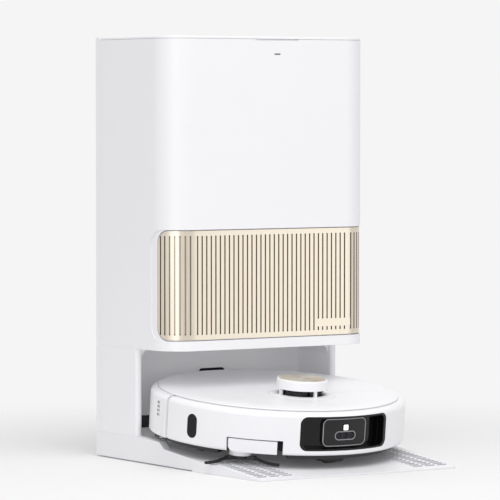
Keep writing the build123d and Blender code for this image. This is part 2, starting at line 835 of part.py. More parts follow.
# Sprung charging contacts, which push back into their slots
with BuildPart() as charge_contacts:
    with BuildSketch(facing_front(bay_wall_back_y + 3.0)):
        with Locations((-contact_x, contact_z), (contact_x, contact_z)):
            Rectangle(contact_width, contact_height)
    extrude(amount=contact_reach + bay_wall_thick + 3.0)
    fillet(charge_contacts.edges().group_by(Axis.Y)[0], 2.0)

with BuildPart() as rubber_feet:
    with BuildSketch():
        with Locations((0, feet_y)):
            with GridLocations(station_width - 60, back_y - ramp_seam_y - 50, 2, 2):
                Circle(foot_radius)
    extrude(amount=2 * foot_height)

with BuildPart() as station_screws:
    with BuildSketch(Plane.XY.offset(station_screw_seat)):
        with Locations((0, screw_row_y)):
            with GridLocations(station_width - pillar_wall, pillar_depth / 2, 2, 2):
                Circle(screw_head_radius)
    extrude(amount=screw_head_height)
    with BuildSketch(Plane.XY.offset(station_screw_seat)):
        with Locations((0, screw_row_y)):
            with GridLocations(station_width - pillar_wall, pillar_depth / 2, 2, 2):
                Circle(screw_radius)
    extrude(amount=station_screw_end - station_screw_seat - fit)

# Robot: pan with the brush tunnel, wheel wells, mop wells, caster cup and side arm shelf
wheel_well_x = (well_inner_x + well_outer_x) / 2
mop_places = [(-mop_x, mop_y), (mop_x, mop_y)]
ear_angles = [12.0, 90.0, 168.0]
ear_places = [(ear_reach * cos(radians(a)), ear_reach * sin(radians(a))) for a in ear_angles]
arm_cut = sector(
    pan_bottom, shelf_inner + pan_wall, pan_radius + 1, shelf_start_angle, shelf_end_angle
)
arm_shelf = sector(shelf_bottom, shelf_inner, pan_radius, shelf_start_angle, shelf_end_angle)
arm_wall = sector(
    pan_bottom, shelf_inner, shelf_inner + pan_wall, shelf_start_angle, shelf_end_angle
)
with BuildPart() as chassis_pan:
    with BuildSketch(Plane.XY.offset(pan_bottom)):
        Circle(pan_radius)
    extrude(amount=pan_top - pan_bottom)
    with BuildSketch(Plane.XY.offset(pan_bottom + pan_wall)):
        Circle(pan_radius - pan_wall)
    extrude(amount=pan_top - pan_bottom, mode=Mode.SUBTRACT)
    with BuildSketch(Plane.XY.offset(pan_bottom)):
        with Locations(*mop_places):
            Circle(mop_well_radius + pan_wall)
        Circle(pan_radius, mode=Mode.INTERSECT)
    extrude(amount=mop_roof_top - pan_bottom)
    with BuildSketch(Plane.XY.offset(pan_bottom)):
        with Locations((0, brush_y)):
            Rectangle(2 * tunnel_half_length, 2 * tunnel_half_width)
    extrude(amount=tunnel_top - pan_bottom)
    with BuildSketch(Plane.XY.offset(pan_bottom)):
        with Locations((0, caster_y)):
            Circle(caster_boss_radius)
        Circle(window_inner - bumper_travel - 1.5, mode=Mode.INTERSECT)
    extrude(amount=caster_boss_top - pan_bottom)
    with BuildSketch(Plane.XY.offset(skirt_bottom - ear_thick)):
        with Locations(*ear_places):
            Circle(ear_radius)
        Circle(pan_radius - pan_wall, mode=Mode.SUBTRACT)
    extrude(amount=ear_thick)
    with BuildSketch(Plane.XY.offset(pan_bottom)):
        with Locations(*mop_places):
            Circle(mop_well_radius)
    extrude(amount=mop_roof_bottom - pan_bottom, mode=Mode.SUBTRACT)
    with BuildSketch(Plane.XY.offset(pan_bottom)):
        with Locations(*mop_places):
            Circle(mop_spindle + 2.0)
    extrude(amount=pan_top, mode=Mode.SUBTRACT)
    with BuildSketch(Plane.XY.offset(pan_bottom)):
        with Locations((-wheel_well_x, 0), (wheel_well_x, 0)):
            Rectangle(well_outer_x - well_inner_x, 2 * well_half_length)
    extrude(amount=pan_top, mode=Mode.SUBTRACT)
    with BuildSketch(Plane.YZ):
        with Locations((brush_y, brush_z)):
            Circle(tunnel_radius)
            Rectangle(2 * tunnel_radius - 4, 2 * brush_z, align=(Align.CENTER, Align.MAX))
    extrude(amount=brush_half_length + fit, both=True, mode=Mode.SUBTRACT)
    with BuildSketch(Plane.YZ):
        with Locations((brush_y, brush_z)):
            Circle(brush_shaft + running_fit)
    extrude(amount=tunnel_half_length, both=True, mode=Mode.SUBTRACT)
    with BuildSketch(Plane.XY.offset(pan_bottom)):
        with Locations((0, caster_y)):
            Circle(caster_cup_radius)
    extrude(amount=caster_fork_top + fit - pan_bottom, mode=Mode.SUBTRACT)
    with BuildSketch(Plane.XY.offset(caster_fork_top)):
        with Locations((0, caster_y)):
            Circle(caster_stem + running_fit)
    extrude(amount=caster_boss_top, mode=Mode.SUBTRACT)
    extrude(arm_cut, amount=pan_top - pan_bottom, mode=Mode.SUBTRACT)
    extrude(arm_wall, amount=shelf_top - pan_bottom)
    extrude(arm_shelf, amount=shelf_top - shelf_bottom)
    with BuildSketch(Plane.XY.offset(arm_bottom + fit)):
        with Locations(arm_pivot):
            Circle(arm_pin)
    extrude(amount=shelf_bottom - arm_bottom)
    with BuildSketch(Plane.XY.offset(skirt_bottom - ear_thick)):
        with Locations(*ear_places):
            Circle(screw_radius + fit)
    extrude(amount=ear_thick, mode=Mode.SUBTRACT)

# Robot: rear half of the side wall, with the cover's seat, the vent holes and the contact pockets
band_lip = ring(skirt_bottom, pan_radius + running_fit, robot_radius)
with BuildPart() as rear_band:
    with BuildSketch(Plane.XZ):
        with BuildLine():
            Line((robot_radius - shell_wall, skirt_bottom), (robot_radius - skirt_edge, skirt_bottom))
            Line((robot_radius - skirt_edge, skirt_bottom), (robot_radius, skirt_bottom + skirt_edge))
            Line((robot_radius, skirt_bottom + skirt_edge), (robot_radius, skirt_top - 9))
            ThreePointArc(
                (robot_radius, skirt_top - 9), (robot_radius - 1.9, skirt_top - 3.4),
                (robot_radius - 7, skirt_top - 0.8),
            )
            Line((robot_radius - 7, skirt_top - 0.8), (rim_radius, cover_seat - rim_gap))
            Line((rim_radius, cover_seat - rim_gap), (rim_radius, cover_seat - pan_wall))
            Line((rim_radius, cover_seat - pan_wall), (robot_radius - shell_wall, skirt_top - 9))
            Line((robot_radius - shell_wall, skirt_top - 9), (robot_radius - shell_wall, skirt_bottom))
        make_face()
    revolve(axis=Axis.Z)
    extrude(band_lip, amount=pan_wall)
    with BuildSketch(Plane.XY.offset(cover_seat - pan_wall)):
        Circle(rim_radius + 1)
        Circle(rim_radius - 9.0, mode=Mode.SUBTRACT)
    extrude(amount=pan_wall - 2 * rim_gap)
    with BuildSketch(Plane.XY.offset(cover_seat - pan_wall)):
        Circle(cover_radius - 1)
        Circle(rim_radius - 9.0, mode=Mode.SUBTRACT)
    extrude(amount=pan_wall)
    with BuildSketch(Plane.XY):
        with Locations((0, split_y + bumper_gap / 2)):
            Rectangle(3 * robot_radius, 3 * robot_radius, align=(Align.CENTER, Align.MAX))
    extrude(amount=station_height, mode=Mode.SUBTRACT)
    with BuildSketch(Plane.XY.offset(skirt_bottom)):
        Circle(robot_radius - shell_wall - 1.0)
        Circle(robot_radius - shell_wall - 3.0, mode=Mode.SUBTRACT)
        with Locations((0, split_y)):
            Rectangle(3 * robot_radius, 6 * bumper_gap, mode=Mode.INTERSECT)
    extrude(amount=skirt_top - skirt_bottom - 10)
    with BuildSketch(Plane.XY.offset(skirt_bottom)):
        with Locations((0, split_y + 2 * bumper_gap)):
            Rectangle(2 * robot_radius, bumper_gap)
        Circle(robot_radius, mode=Mode.INTERSECT)
        Circle(robot_radius - shell_wall - 2.0, mode=Mode.SUBTRACT)
    extrude(amount=skirt_top - skirt_bottom - 10)
    with BuildSketch(Plane.XY.offset(skirt_bottom)):
        with Locations((0, trim_line_y)):
            Rectangle(3 * robot_radius, groove_fine)
        Circle(robot_radius - 0.6, mode=Mode.SUBTRACT)
    extrude(amount=skirt_top - skirt_bottom - 6, mode=Mode.SUBTRACT)
    vent = Plane(
        origin=(-robot_radius * cos(radians(9.5)), robot_radius * sin(radians(9.5)), 55.5),
        x_dir=(0, -1, 0), z_dir=(-1, 0, 0),
    )
    with BuildSketch(vent):
        with GridLocations(5.4, 5.6, 3, 4):
            SlotOverall(4.2, 3.4, rotation=90)
    extrude(amount=-6 * shell_wall, mode=Mode.SUBTRACT)
    plate_face = sqrt(robot_radius**2 - contact_x**2)
    with BuildSketch(facing_front(plate_face - plate_thick)):
        with Locations((-contact_x, plate_z_local), (contact_x, plate_z_local)):
            Rectangle(plate_width + 2 * running_fit, plate_height + 2 * running_fit)
    extrude(amount=-2 * shell_wall, mode=Mode.SUBTRACT)
    with BuildSketch(Plane.XY.offset(skirt_bottom)):
        with Locations(*ear_places):
            Circle(screw_radius + running_fit)
    extrude(amount=pan_wall, mode=Mode.SUBTRACT)

with BuildPart() as charge_plates:
    with BuildSketch(facing_front(plate_face - plate_thick)):
        with Locations((-contact_x, plate_z_local), (contact_x, plate_z_local)):
            Rectangle(plate_width, plate_height)
    extrude(amount=fit - plate_thick)

# Robot: bumper, the front half of the side wall
notch = sector(skirt_bottom, shelf_inner, robot_radius + 1, notch_start_angle, notch_end_angle)
pill_plane = Plane(
    origin=(
        -robot_radius * sin(radians(pill_angle)), -robot_radius * cos(radians(pill_angle)), pill_z,
    ),
    x_dir=(cos(radians(pill_angle)), -sin(radians(pill_angle)), 0),
    z_dir=(-sin(radians(pill_angle)), -cos(radians(pill_angle)), 0),
)
with BuildPart() as bumper:
    with BuildSketch(Plane.XZ):
        with BuildLine():
            Line((robot_radius - shell_wall, skirt_bottom), (robot_radius - skirt_edge, skirt_bottom))
            Line((robot_radius - skirt_edge, skirt_bottom), (robot_radius, skirt_bottom + skirt_edge))
            Line((robot_radius, skirt_bottom + skirt_edge), (robot_radius, skirt_top - 9))
            ThreePointArc(
                (robot_radius, skirt_top - 9), (robot_radius - 1.9, skirt_top - 3.4),
                (robot_radius - 7, skirt_top - 0.8),
            )
            Line((robot_radius - 7, skirt_top - 0.8), (rim_radius - bumper_travel, skirt_top))
            Line((rim_radius - bumper_travel, skirt_top), (rim_radius - bumper_travel, skirt_top - 2))
            Line((rim_radius - bumper_travel, skirt_top - 2), (robot_radius - shell_wall, skirt_top - 9))
            Line((robot_radius - shell_wall, skirt_top - 9), (robot_radius - shell_wall, skirt_bottom))
        make_face()
    revolve(axis=Axis.Z)
    with BuildSketch(Plane.XY):
        with Locations((0, split_y - bumper_gap / 2)):
            Rectangle(3 * robot_radius, 3 * robot_radius, align=(Align.CENTER, Align.MIN))
    extrude(amount=station_height, mode=Mode.SUBTRACT)
    with BuildSketch(facing_front(-robot_radius / 2)):
        with Locations((0, window_z)):
            RectangleRounded(window_width, window_height, window_corner)
    extrude(amount=robot_radius, mode=Mode.SUBTRACT)
    with BuildSketch(pill_plane):
        SlotOverall(pill_height, pill_width, rotation=90)
    extrude(amount=-2 * shell_wall, mode=Mode.SUBTRACT)
    extrude(notch, amount=notch_top - skirt_bottom, mode=Mode.SUBTRACT)

with BuildPart() as side_sensor_window:
    with BuildSketch(pill_plane.offset(-shell_wall)):
        SlotOverall(pill_height - 2 * running_fit, pill_width - 2 * running_fit, rotation=90)
    extrude(amount=shell_wall)

# Robot: black front window, a curved tray with the sensor block standing in it
window_ring = ring(0, window_inner, robot_radius - 0.6)
tray_ring = ring(0, window_floor, robot_radius + window_frame)
block_ring = ring(0, window_floor + running_fit, block_face)
tray_width = window_width - 2 * window_frame
tray_height = window_height - window_frame
with BuildPart() as window_tray:
    extrude(tray_ring, amount=2 * window_z)
    with BuildSketch(facing_front(-robot_radius / 2)):
        with Locations((0, window_z)):
            RectangleRounded(tray_width, tray_height, window_corner - window_frame / 2)
    extrude(amount=robot_radius, mode=Mode.INTERSECT)

with BuildPart() as front_window:
    extrude(window_ring, amount=2 * window_z)
    with BuildSketch(facing_front(-robot_radius / 2)):
        with Locations((0, window_z)):
            RectangleRounded(
                window_width - 2 * running_fit, window_height - 2 * running_fit, window_corner
            )
    extrude(amount=robot_radius, mode=Mode.INTERSECT)
    add(window_tray.part, mode=Mode.SUBTRACT)

lens_places = [(-lens_spacing, lens_z), (0, lens_z), (lens_spacing, lens_z)]
lens_back = -block_face + 2.6
with BuildPart() as sensor_block:
    extrude(block_ring, amount=2 * window_z)
    with BuildSketch(facing_front(-robot_radius / 2)):
        with Locations((0, window_z)):
            RectangleRounded(block_width, block_height, block_corner)
    extrude(amount=robot_radius, mode=Mode.INTERSECT)
    with BuildSketch(facing_front(lens_back)):
        with Locations(*lens_places):
            Circle(lens_radius + running_fit)
    extrude(amount=robot_radius, mode=Mode.SUBTRACT)

with BuildPart() as camera_lenses:
    with BuildSketch(facing_front(lens_back)):
        with Locations(*lens_places):
            Circle(lens_radius)
    extrude(amount=2.0)
    fillet(camera_lenses.edges().group_by(Axis.Y)[0], 1.2)

# Robot: top cover with its turret hole, its split line and the crescent in front of the turret
front_crescent = sector(cover_top, crescent_radius, crescent_radius + 1, -crescent_angle, crescent_angle)
with BuildPart() as top_cover:
    with BuildSketch(Plane.XZ):
        with BuildLine():
            Line((0, cover_top), (cover_radius - 24, cover_top))
            ThreePointArc(
                (cover_radius - 24, cover_top), (cover_radius - 10, cover_top - 0.5),
                (cover_radius - 1, cover_top - 1.9),
            )
            Line((cover_radius - 1, cover_top - 1.9), (cover_radius, cover_seat + 1))
            Line((cover_radius, cover_seat + 1), (cover_radius, cover_seat))
            Line((cover_radius, cover_seat), (rim_radius - 8, cover_seat))
            Line((rim_radius - 8, cover_seat), (rim_radius - 14, cover_top - 2.4))
            Line((rim_radius - 14, cover_top - 2.4), (0, cover_top - 2.4))
            Line((0, cover_top - 2.4), (0, cover_top))
        make_face()
    revolve(axis=Axis.Z)
    with BuildSketch(Plane.XY):
        with Locations((0, turret_y)):
            Circle(turret_inner + fit)
    extrude(amount=station_height, mode=Mode.SUBTRACT)
    with BuildSketch(Plane.XY.offset(cover_top)):
        with Locations((0, turret_y)):
            Rectangle(2 * cover_radius, groove_fine)
        Circle(cover_radius - 24, mode=Mode.INTERSECT)
        with Locations((0, turret_y)):
            Circle(turret_flange + 1, mode=Mode.SUBTRACT)
    extrude(amount=-groove_fine, mode=Mode.SUBTRACT)
    extrude(front_crescent, amount=-groove_fine, mode=Mode.SUBTRACT)

# Robot: turret with its flared foot, posts and cap, around the spinning distance sensor
turret_axis = Axis((0, turret_y, 0), (0, 0, 1))
turret_section = Plane(origin=(0, turret_y, 0), x_dir=(1, 0, 0), z_dir=(0, -1, 0))
with BuildPart() as turret_cage:
    with BuildSketch(turret_section):
        with BuildLine():
            Polyline(
                (0, turret_floor), (turret_inner, turret_floor), (turret_inner, cover_top),
                (turret_flange, cover_top), (turret_flange - 2, cover_top + 0.6),
                (turret_radius + 3, turret_slot_bottom - 0.5), (turret_radius, turret_slot_bottom),
                (rotor_radius + 1.5, turret_slot_bottom), (rotor_radius + 1.5, turret_floor + 3),
                (rotor_bore, turret_floor + 3), (rotor_bore, turret_top - 6), (0, turret_top - 6),
                close=True,
            )
        make_face()
        with BuildLine():
            Polyline(
                (turret_radius, turret_slot_top), (turret_radius - 1.0, turret_top - 1.4),
                (turret_radius - 2.2, turret_top), (disc_radius + running_fit, turret_top),
                (disc_radius + running_fit, turret_top - 1), (0, turret_top - 1),
                (0, turret_top - 4), (rotor_radius + 1.5, turret_top - 4),
                (rotor_radius + 1.5, turret_slot_top), close=True,
            )
        make_face()
    revolve(axis=turret_axis)
    with BuildSketch(Plane.XY.offset(turret_slot_bottom)):
        with Locations((0, turret_y)):
            with PolarLocations((turret_radius + rotor_radius + 1.5) / 2, 4):
                Rectangle(turret_radius - rotor_radius - 2.5, turret_post)
    extrude(amount=turret_slot_top - turret_slot_bottom)

with BuildPart() as turret_disc:
    with BuildSketch(Plane.XY.offset(turret_top - 1)):
        with Locations((0, turret_y)):
            Circle(disc_radius)
    extrude(amount=disc_thick)

with BuildPart() as lidar_rotor:
    with BuildSketch(Plane.XY.offset(turret_floor + 3 + fit)):
        with Locations((0, turret_y)):
            Circle(rotor_radius)
            Circle(rotor_bore + running_fit, mode=Mode.SUBTRACT)
    extrude(amount=turret_top - 4 - turret_floor - 4)
    with BuildSketch(Plane.XY.offset(turret_slot_bottom)):
        with Locations((0, turret_y - rotor_radius)):
            Rectangle(rotor_radius, rotor_radius / 3)
    extrude(amount=turret_slot_top - turret_slot_bottom - 1, mode=Mode.SUBTRACT)

# Robot: drive gearboxes with their axles, wheel hubs and tyres
gearbox_y = (gearbox_front + gearbox_back) / 2
with BuildPart() as left_gearbox:
    with BuildSketch(Plane.YZ.offset(-gearbox_outer_x)):
        with Locations((gearbox_y, (gearbox_bottom + gearbox_top) / 2)):
            RectangleRounded(gearbox_back - gearbox_front, gearbox_top - gearbox_bottom, 8.0)
    extrude(amount=gearbox_outer_x - gearbox_inner_x)
    with BuildSketch(Plane.YZ.offset(-gearbox_outer_x)):
        with Locations((0, wheel_radius)):
            Circle(axle_radius)
    extrude(amount=gearbox_outer_x - wheel_x - wheel_width / 2)

with BuildPart() as right_gearbox:
    mirror(left_gearbox.part, about=Plane.YZ)

with BuildPart() as left_wheel_hub:
    with BuildSketch(Plane.YZ.offset(-wheel_x - wheel_width / 2)):
        with Locations((0, wheel_radius)):
            Circle(hub_radius)
            Circle(axle_radius + running_fit, mode=Mode.SUBTRACT)
    extrude(amount=wheel_width)
    with BuildSketch(Plane.YZ.offset(-wheel_x - wheel_width / 2)):
        with Locations((0, wheel_radius)):
            Circle(hub_radius - 4)
            Circle(axle_radius + 5, mode=Mode.SUBTRACT)
    extrude(amount=wheel_width / 3, mode=Mode.SUBTRACT)

with BuildPart() as right_wheel_hub:
    mirror(left_wheel_hub.part, about=Plane.YZ)

with BuildPart() as left_tyre:
    with BuildSketch(Plane.YZ.offset(-wheel_x - wheel_width / 2)):
        with Locations((0, wheel_radius)):
            Circle(wheel_radius - 2.5)
            with PolarLocations(wheel_radius - 2.0, tread_blocks):
                Rectangle(4.0, 3.6)
            Circle(wheel_radius, mode=Mode.INTERSECT)
            Circle(hub_radius, mode=Mode.SUBTRACT)
    extrude(amount=wheel_width)

with BuildPart() as right_tyre:
    mirror(left_tyre.part, about=Plane.YZ)

# Robot: front caster
with BuildPart() as caster_fork:
    with BuildSketch(Plane.XY.offset(caster_fork_bottom)):
        with Locations((0, caster_y)):
            Circle(caster_fork_radius)
    extrude(amount=caster_fork_top - caster_fork_bottom)
    with BuildSketch(Plane.YZ):
        with Locations((caster_y, caster_radius)):
            Circle(caster_radius + 1.5)
            Rectangle(2 * caster_radius + 3, caster_radius * 2, align=(Align.CENTER, Align.MAX))
    extrude(amount=caster_width / 2 + fit, both=True, mode=Mode.SUBTRACT)
    with BuildSketch(Plane.YZ):
        with Locations((caster_y, caster_radius)):
            Circle(caster_axle)
    extrude(amount=caster_width / 2 + 4, both=True)
    with BuildSketch(Plane.XY.offset(caster_fork_top)):
        with Locations((0, caster_y)):
            Circle(caster_stem)
    extrude(amount=caster_boss_top - caster_fork_top - fit)

with BuildPart() as caster_wheel:
    with BuildSketch(Plane.YZ.offset(-caster_width / 2)):
        with Locations((caster_y, caster_radius)):
            Circle(caster_radius)
    extrude(amount=caster_width)
    fillet(caster_wheel.edges(), 4.0)
    with BuildSketch(Plane.YZ):
        with Locations((caster_y, caster_radius)):
            Circle(caster_axle + running_fit)
    extrude(amount=caster_width, both=True, mode=Mode.SUBTRACT)

# Robot: main brush and the guard frame around it
with BuildPart() as main_brush:
    with BuildSketch(Plane.YZ):
        with Locations((brush_y, brush_z)):
            Circle(brush_core)
            with PolarLocations(brush_core - 1, brush_fins):
                Rectangle(brush_radius - brush_core, 2.4, align=(Align.MIN, Align.CENTER))
    extrude(amount=brush_half_length, both=True)
    with BuildSketch(Plane.YZ):
        with Locations((brush_y, brush_z)):
            Circle(brush_shaft)
    extrude(amount=tunnel_half_length - fit, both=True)

with BuildPart() as brush_guard:
    with BuildSketch(Plane.XY.offset(pan_bottom - guard_thick)):
        with Locations((0, brush_y)):
            RectangleRounded(2 * guard_half_length - 18, 2 * guard_half_width, 5.0)
            Rectangle(2 * brush_half_length + 2 * fit, 2 * tunnel_radius - 4, mode=Mode.SUBTRACT)
    extrude(amount=guard_thick)

# Robot: swing-out arm of the side brush, its hub and its bristle tufts
arm_block = sector(arm_bottom, arm_inner, arm_outer, arm_start_angle, arm_end_angle)
arm_middle = (arm_inner + arm_outer) / 2
arm_heel = (
    -arm_middle * sin(radians(arm_end_angle)), -arm_middle * cos(radians(arm_end_angle)), arm_bottom,
)
with BuildPart() as side_brush_arm:
    extrude(arm_block, amount=arm_top - arm_bottom)
    fillet(side_brush_arm.edges().sort_by_distance(arm_heel)[0], arm_round)
    with BuildSketch(Plane.XY.offset(side_boss_bottom)):
        with Locations(side_hub):
            Circle(side_boss)
    extrude(amount=arm_bottom + 1 - side_boss_bottom)
    with BuildSketch(Plane.XY.offset(arm_bottom)):
        with Locations(arm_pivot):
            Circle(arm_pin + running_fit)
    extrude(amount=arm_top, mode=Mode.SUBTRACT)
    with BuildSketch(Plane.XY.offset(side_disc_bottom)):
        with Locations(side_hub):
            Circle(side_shaft)
    extrude(amount=side_boss_bottom - side_disc_bottom)

with BuildPart() as side_brush_hub:
    with BuildSketch(Plane.XY.offset(side_disc_bottom)):
        with Locations(side_hub):
            Circle(side_disc)
            Circle(side_shaft + running_fit, mode=Mode.SUBTRACT)
    extrude(amount=side_disc_top - side_disc_bottom)

tuft_planes = []
for turn in range(tuft_count):
    heading = radians(tuft_heading + 360.0 / tuft_count * turn)
    across = Vector(sin(heading), -cos(heading), 0)
    for layer in range(strand_layers):
        shift = (layer - strand_layers / 2) * layer_pitch
        origin = Vector(*side_hub, 0) + across * shift
        tuft_planes.append(Plane(origin, x_dir=(cos(heading), sin(heading), 0), z_dir=across))

tuft_root = side_disc + ferrule_length - 2.5
tuft_centre = (tuft_root + tuft_bend * sin(radians(tuft_fall)), tuft_clear + tuft_bend)
tuft_angles = [radians(a) for a in (-tuft_fall, -tuft_fall / 2, 0, tuft_curl)]
tuft_edge = [(1.1 * tuft_bend * sin(a), -1.1 * tuft_bend * cos(a)) for a in tuft_angles]
with BuildPart() as side_brush_bristles:
    with BuildSketch(*tuft_planes):
        with Locations(tuft_centre):
            for column in range(strand_columns):
                Circle(tuft_bend - column * strand_pitch)
                Circle(tuft_bend - column * strand_pitch - strand, mode=Mode.SUBTRACT)
            Polygon((0, 0), *tuft_edge, align=None, mode=Mode.INTERSECT)
    extrude(amount=strand)
    with BuildSketch(Plane.XY.offset(side_disc_bottom)):
        with Locations(side_hub):
            with PolarLocations(side_disc, tuft_count, tuft_heading):
                Rectangle(ferrule_length, ferrule_width, align=(Align.MIN, Align.CENTER))
    extrude(amount=side_disc_top - side_disc_bottom)

# Robot: mop plates on their lifting carrier, with a cloth pad under each
carrier_bottom = mop_roof_top + fit
with BuildPart() as mop_carrier:
    with BuildSketch(Plane.XY.offset(carrier_bottom)):
        with Locations((0, mop_y)):
            RectangleRounded(2 * carrier_half_length, carrier_depth, carrier_depth / 3)
        with Locations(*mop_places):
            Circle(mop_spindle + running_fit, mode=Mode.SUBTRACT)
    extrude(amount=carrier_thick)

with BuildPart() as left_mop_plate:
    with BuildSketch(Plane.XY.offset(mop_thick)):
        with Locations((-mop_x, mop_y)):
            Circle(mop_plate_radius)
    extrude(amount=mop_plate_thick)
    with BuildSketch(Plane.XY.offset(mop_top)):
        with Locations((-mop_x, mop_y)):
            Circle(mop_spindle)
    extrude(amount=carrier_bottom + carrier_thick - mop_top)

with BuildPart() as right_mop_plate:
    mirror(left_mop_plate.part, about=Plane.YZ)

with BuildPart() as left_mop_pad:
    with BuildSketch():
        with Locations((-mop_x, mop_y)):
            Circle(mop_radius)
    extrude(amount=mop_thick)
    fillet(left_mop_pad.edges(), mop_thick * 0.4)

with BuildPart() as right_mop_pad:
    mirror(left_mop_pad.part, about=Plane.YZ)

# Robot: works under the cover
with BuildPart() as dust_bin:
    bin_bottom = mop_roof_top + fit
    with BuildSketch(Plane.XY.offset(bin_bottom)):
        with Locations((0, (bin_front + bin_back) / 2)):
            RectangleRounded(2 * bin_half_width, bin_back - bin_front, 6.0)
    extrude(amount=bin_top - bin_bottom)
    with BuildSketch(Plane.XY.offset(bin_bottom + bin_wall)):
        with Locations((0, (bin_front + bin_back) / 2)):
            RectangleRounded(
                2 * bin_half_width - 2 * bin_wall, bin_back - bin_front - 2 * bin_wall, 4.0
            )
    extrude(amount=bin_top - bin_bottom, mode=Mode.SUBTRACT)

with BuildPart() as suction_fan:
    with BuildSketch(Plane.XY.offset(pan_top)):
        with Locations((fan_x, fan_y)):
            Circle(fan_radius)
    extrude(amount=fan_height)
    fillet(suction_fan.faces().sort_by(Axis.Z)[-1].edges(), fan_radius / 4)

with BuildPart() as battery_pack:
    with BuildSketch(Plane.XY.offset(pan_top)):
        with Locations((battery_x, battery_y)):
            RectangleRounded(battery_width, battery_depth, 5.0)
    extrude(amount=battery_height)

with BuildPart() as main_board:
    with BuildSketch(Plane.XY.offset(caster_boss_top)):
        with Locations((0, board_y)):
            Rectangle(board_width, board_depth)
    extrude(amount=board_thick)
    with BuildSketch(Plane.XY.offset(caster_boss_top + board_thick)):
        with Locations((0, board_y)):
            with GridLocations(board_width / 3, board_depth / 2, 3, 2):
                Rectangle(board_width / 6, board_depth / 4)
    extrude(amount=3.0)

with BuildPart() as chassis_screws:
    with BuildSketch(Plane.XY.offset(skirt_bottom - ear_thick - screw_head_height)):
        with Locations(*ear_places):
            Circle(screw_head_radius)
    extrude(amount=screw_head_height)
    with BuildSketch(Plane.XY.offset(skirt_bottom - ear_thick)):
        with Locations(*ear_places):
            Circle(screw_radius)
    extrude(amount=ear_thick + pan_wall - fit)

# Each piece goes out under its own name, the robot's pieces seated on the plate
station_pieces = {
    "station_base": station_base,
    "ramp_plate": ramp_plate,
    "washboard": washboard,
    "left_side_wall": left_side_wall,
    "right_side_wall": right_side_wall,
    "bay_back_wall": bay_back_wall,
    "signal_window": signal_window,
    "bay_ceiling": bay_ceiling,
    "tower_shell": tower_shell,
    "compartment_liner": compartment_liner,
    "front_panel": front_panel,
    "rear_cover": rear_cover,
    "top_lid": top_lid,
    "lid_hinge_pins": lid_hinge_pins,
    "clean_water_tank": clean_water_tank,
    "dirty_water_tank": dirty_water_tank,
    "dust_bag": dust_bag,
    "dust_duct": dust_duct,
    "suction_motor": suction_motor,
    "water_pump": water_pump,
    "power_supply": power_supply,
    "power_inlet": power_inlet,
    "charge_contacts": charge_contacts,
    "rubber_feet": rubber_feet,
    "station_screws": station_screws,
}
robot_pieces = {
    "chassis_pan": chassis_pan,
    "rear_band": rear_band,
    "charge_plates": charge_plates,
    "bumper": bumper,
    "side_sensor_window": side_sensor_window,
    "front_window": front_window,
    "sensor_block": sensor_block,
    "camera_lenses": camera_lenses,
    "top_cover": top_cover,
    "turret_cage": turret_cage,
    "turret_disc": turret_disc,
    "lidar_rotor": lidar_rotor,
    "left_gearbox": left_gearbox,
    "right_gearbox": right_gearbox,
    "left_wheel_hub": left_wheel_hub,
    "right_wheel_hub": right_wheel_hub,
    "left_tyre": left_tyre,
    "right_tyre": right_tyre,
    "caster_fork": caster_fork,
    "caster_wheel": caster_wheel,
    "main_brush": main_brush,
    "brush_guard": brush_guard,
    "side_brush_arm": side_brush_arm,
    "side_brush_hub": side_brush_hub,
    "side_brush_bristles": side_brush_bristles,
    "mop_carrier": mop_carrier,
    "left_mop_plate": left_mop_plate,
    "right_mop_plate": right_mop_plate,
    "left_mop_pad": left_mop_pad,
    "right_mop_pad": right_mop_pad,
    "dust_bin": dust_bin,
    "suction_fan": suction_fan,
    "battery_pack": battery_pack,
    "main_board": main_board,
    "chassis_screws": chassis_screws,
}
docked = Location((0, 0, plate_z(0) + robot_stand_off), (plate_slope, 0, 0))
for name, piece in station_pieces.items():
    piece.part.label = name
    export_step(piece.part, f"parts/{name}.step")
for name, piece in robot_pieces.items():
    seated = piece.part.moved(docked)
    seated.label = name
    export_step(seated, f"parts/{name}.step")
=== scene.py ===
"""Finishes, soft pieces, small lights and a studio for a robot vacuum docked in its station."""
import json
import math

import bmesh
import bpy
from bpy.props import FloatProperty, FloatVectorProperty, PointerProperty
from mathutils import Matrix, Vector, noise


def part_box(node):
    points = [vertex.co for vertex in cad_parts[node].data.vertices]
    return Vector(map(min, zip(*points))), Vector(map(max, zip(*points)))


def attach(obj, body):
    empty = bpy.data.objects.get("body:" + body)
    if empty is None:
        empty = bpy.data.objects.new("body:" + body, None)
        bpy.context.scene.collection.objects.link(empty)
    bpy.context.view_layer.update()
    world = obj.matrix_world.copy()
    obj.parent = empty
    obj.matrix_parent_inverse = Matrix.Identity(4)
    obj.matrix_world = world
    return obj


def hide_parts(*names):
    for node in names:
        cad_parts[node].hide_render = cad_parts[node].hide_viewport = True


bl_info = {
    "name": "Docked robot vacuum",
    "version": (1, 0, 0),
    "blender": (4, 5, 0),
    "location": "View3D > Sidebar > Robot vacuum",
    "description": "Dresses the packed robot vacuum and its station",
    "category": "Add Mesh",
}

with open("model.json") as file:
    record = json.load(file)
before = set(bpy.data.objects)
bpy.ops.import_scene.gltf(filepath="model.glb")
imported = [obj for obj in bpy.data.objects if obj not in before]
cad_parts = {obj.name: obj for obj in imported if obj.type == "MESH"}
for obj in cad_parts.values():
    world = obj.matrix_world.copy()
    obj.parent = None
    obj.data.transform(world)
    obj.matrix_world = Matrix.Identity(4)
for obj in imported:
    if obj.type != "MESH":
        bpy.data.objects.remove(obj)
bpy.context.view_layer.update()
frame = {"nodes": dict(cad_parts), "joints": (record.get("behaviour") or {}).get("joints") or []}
NODES = frame["nodes"]
MM = 0.001

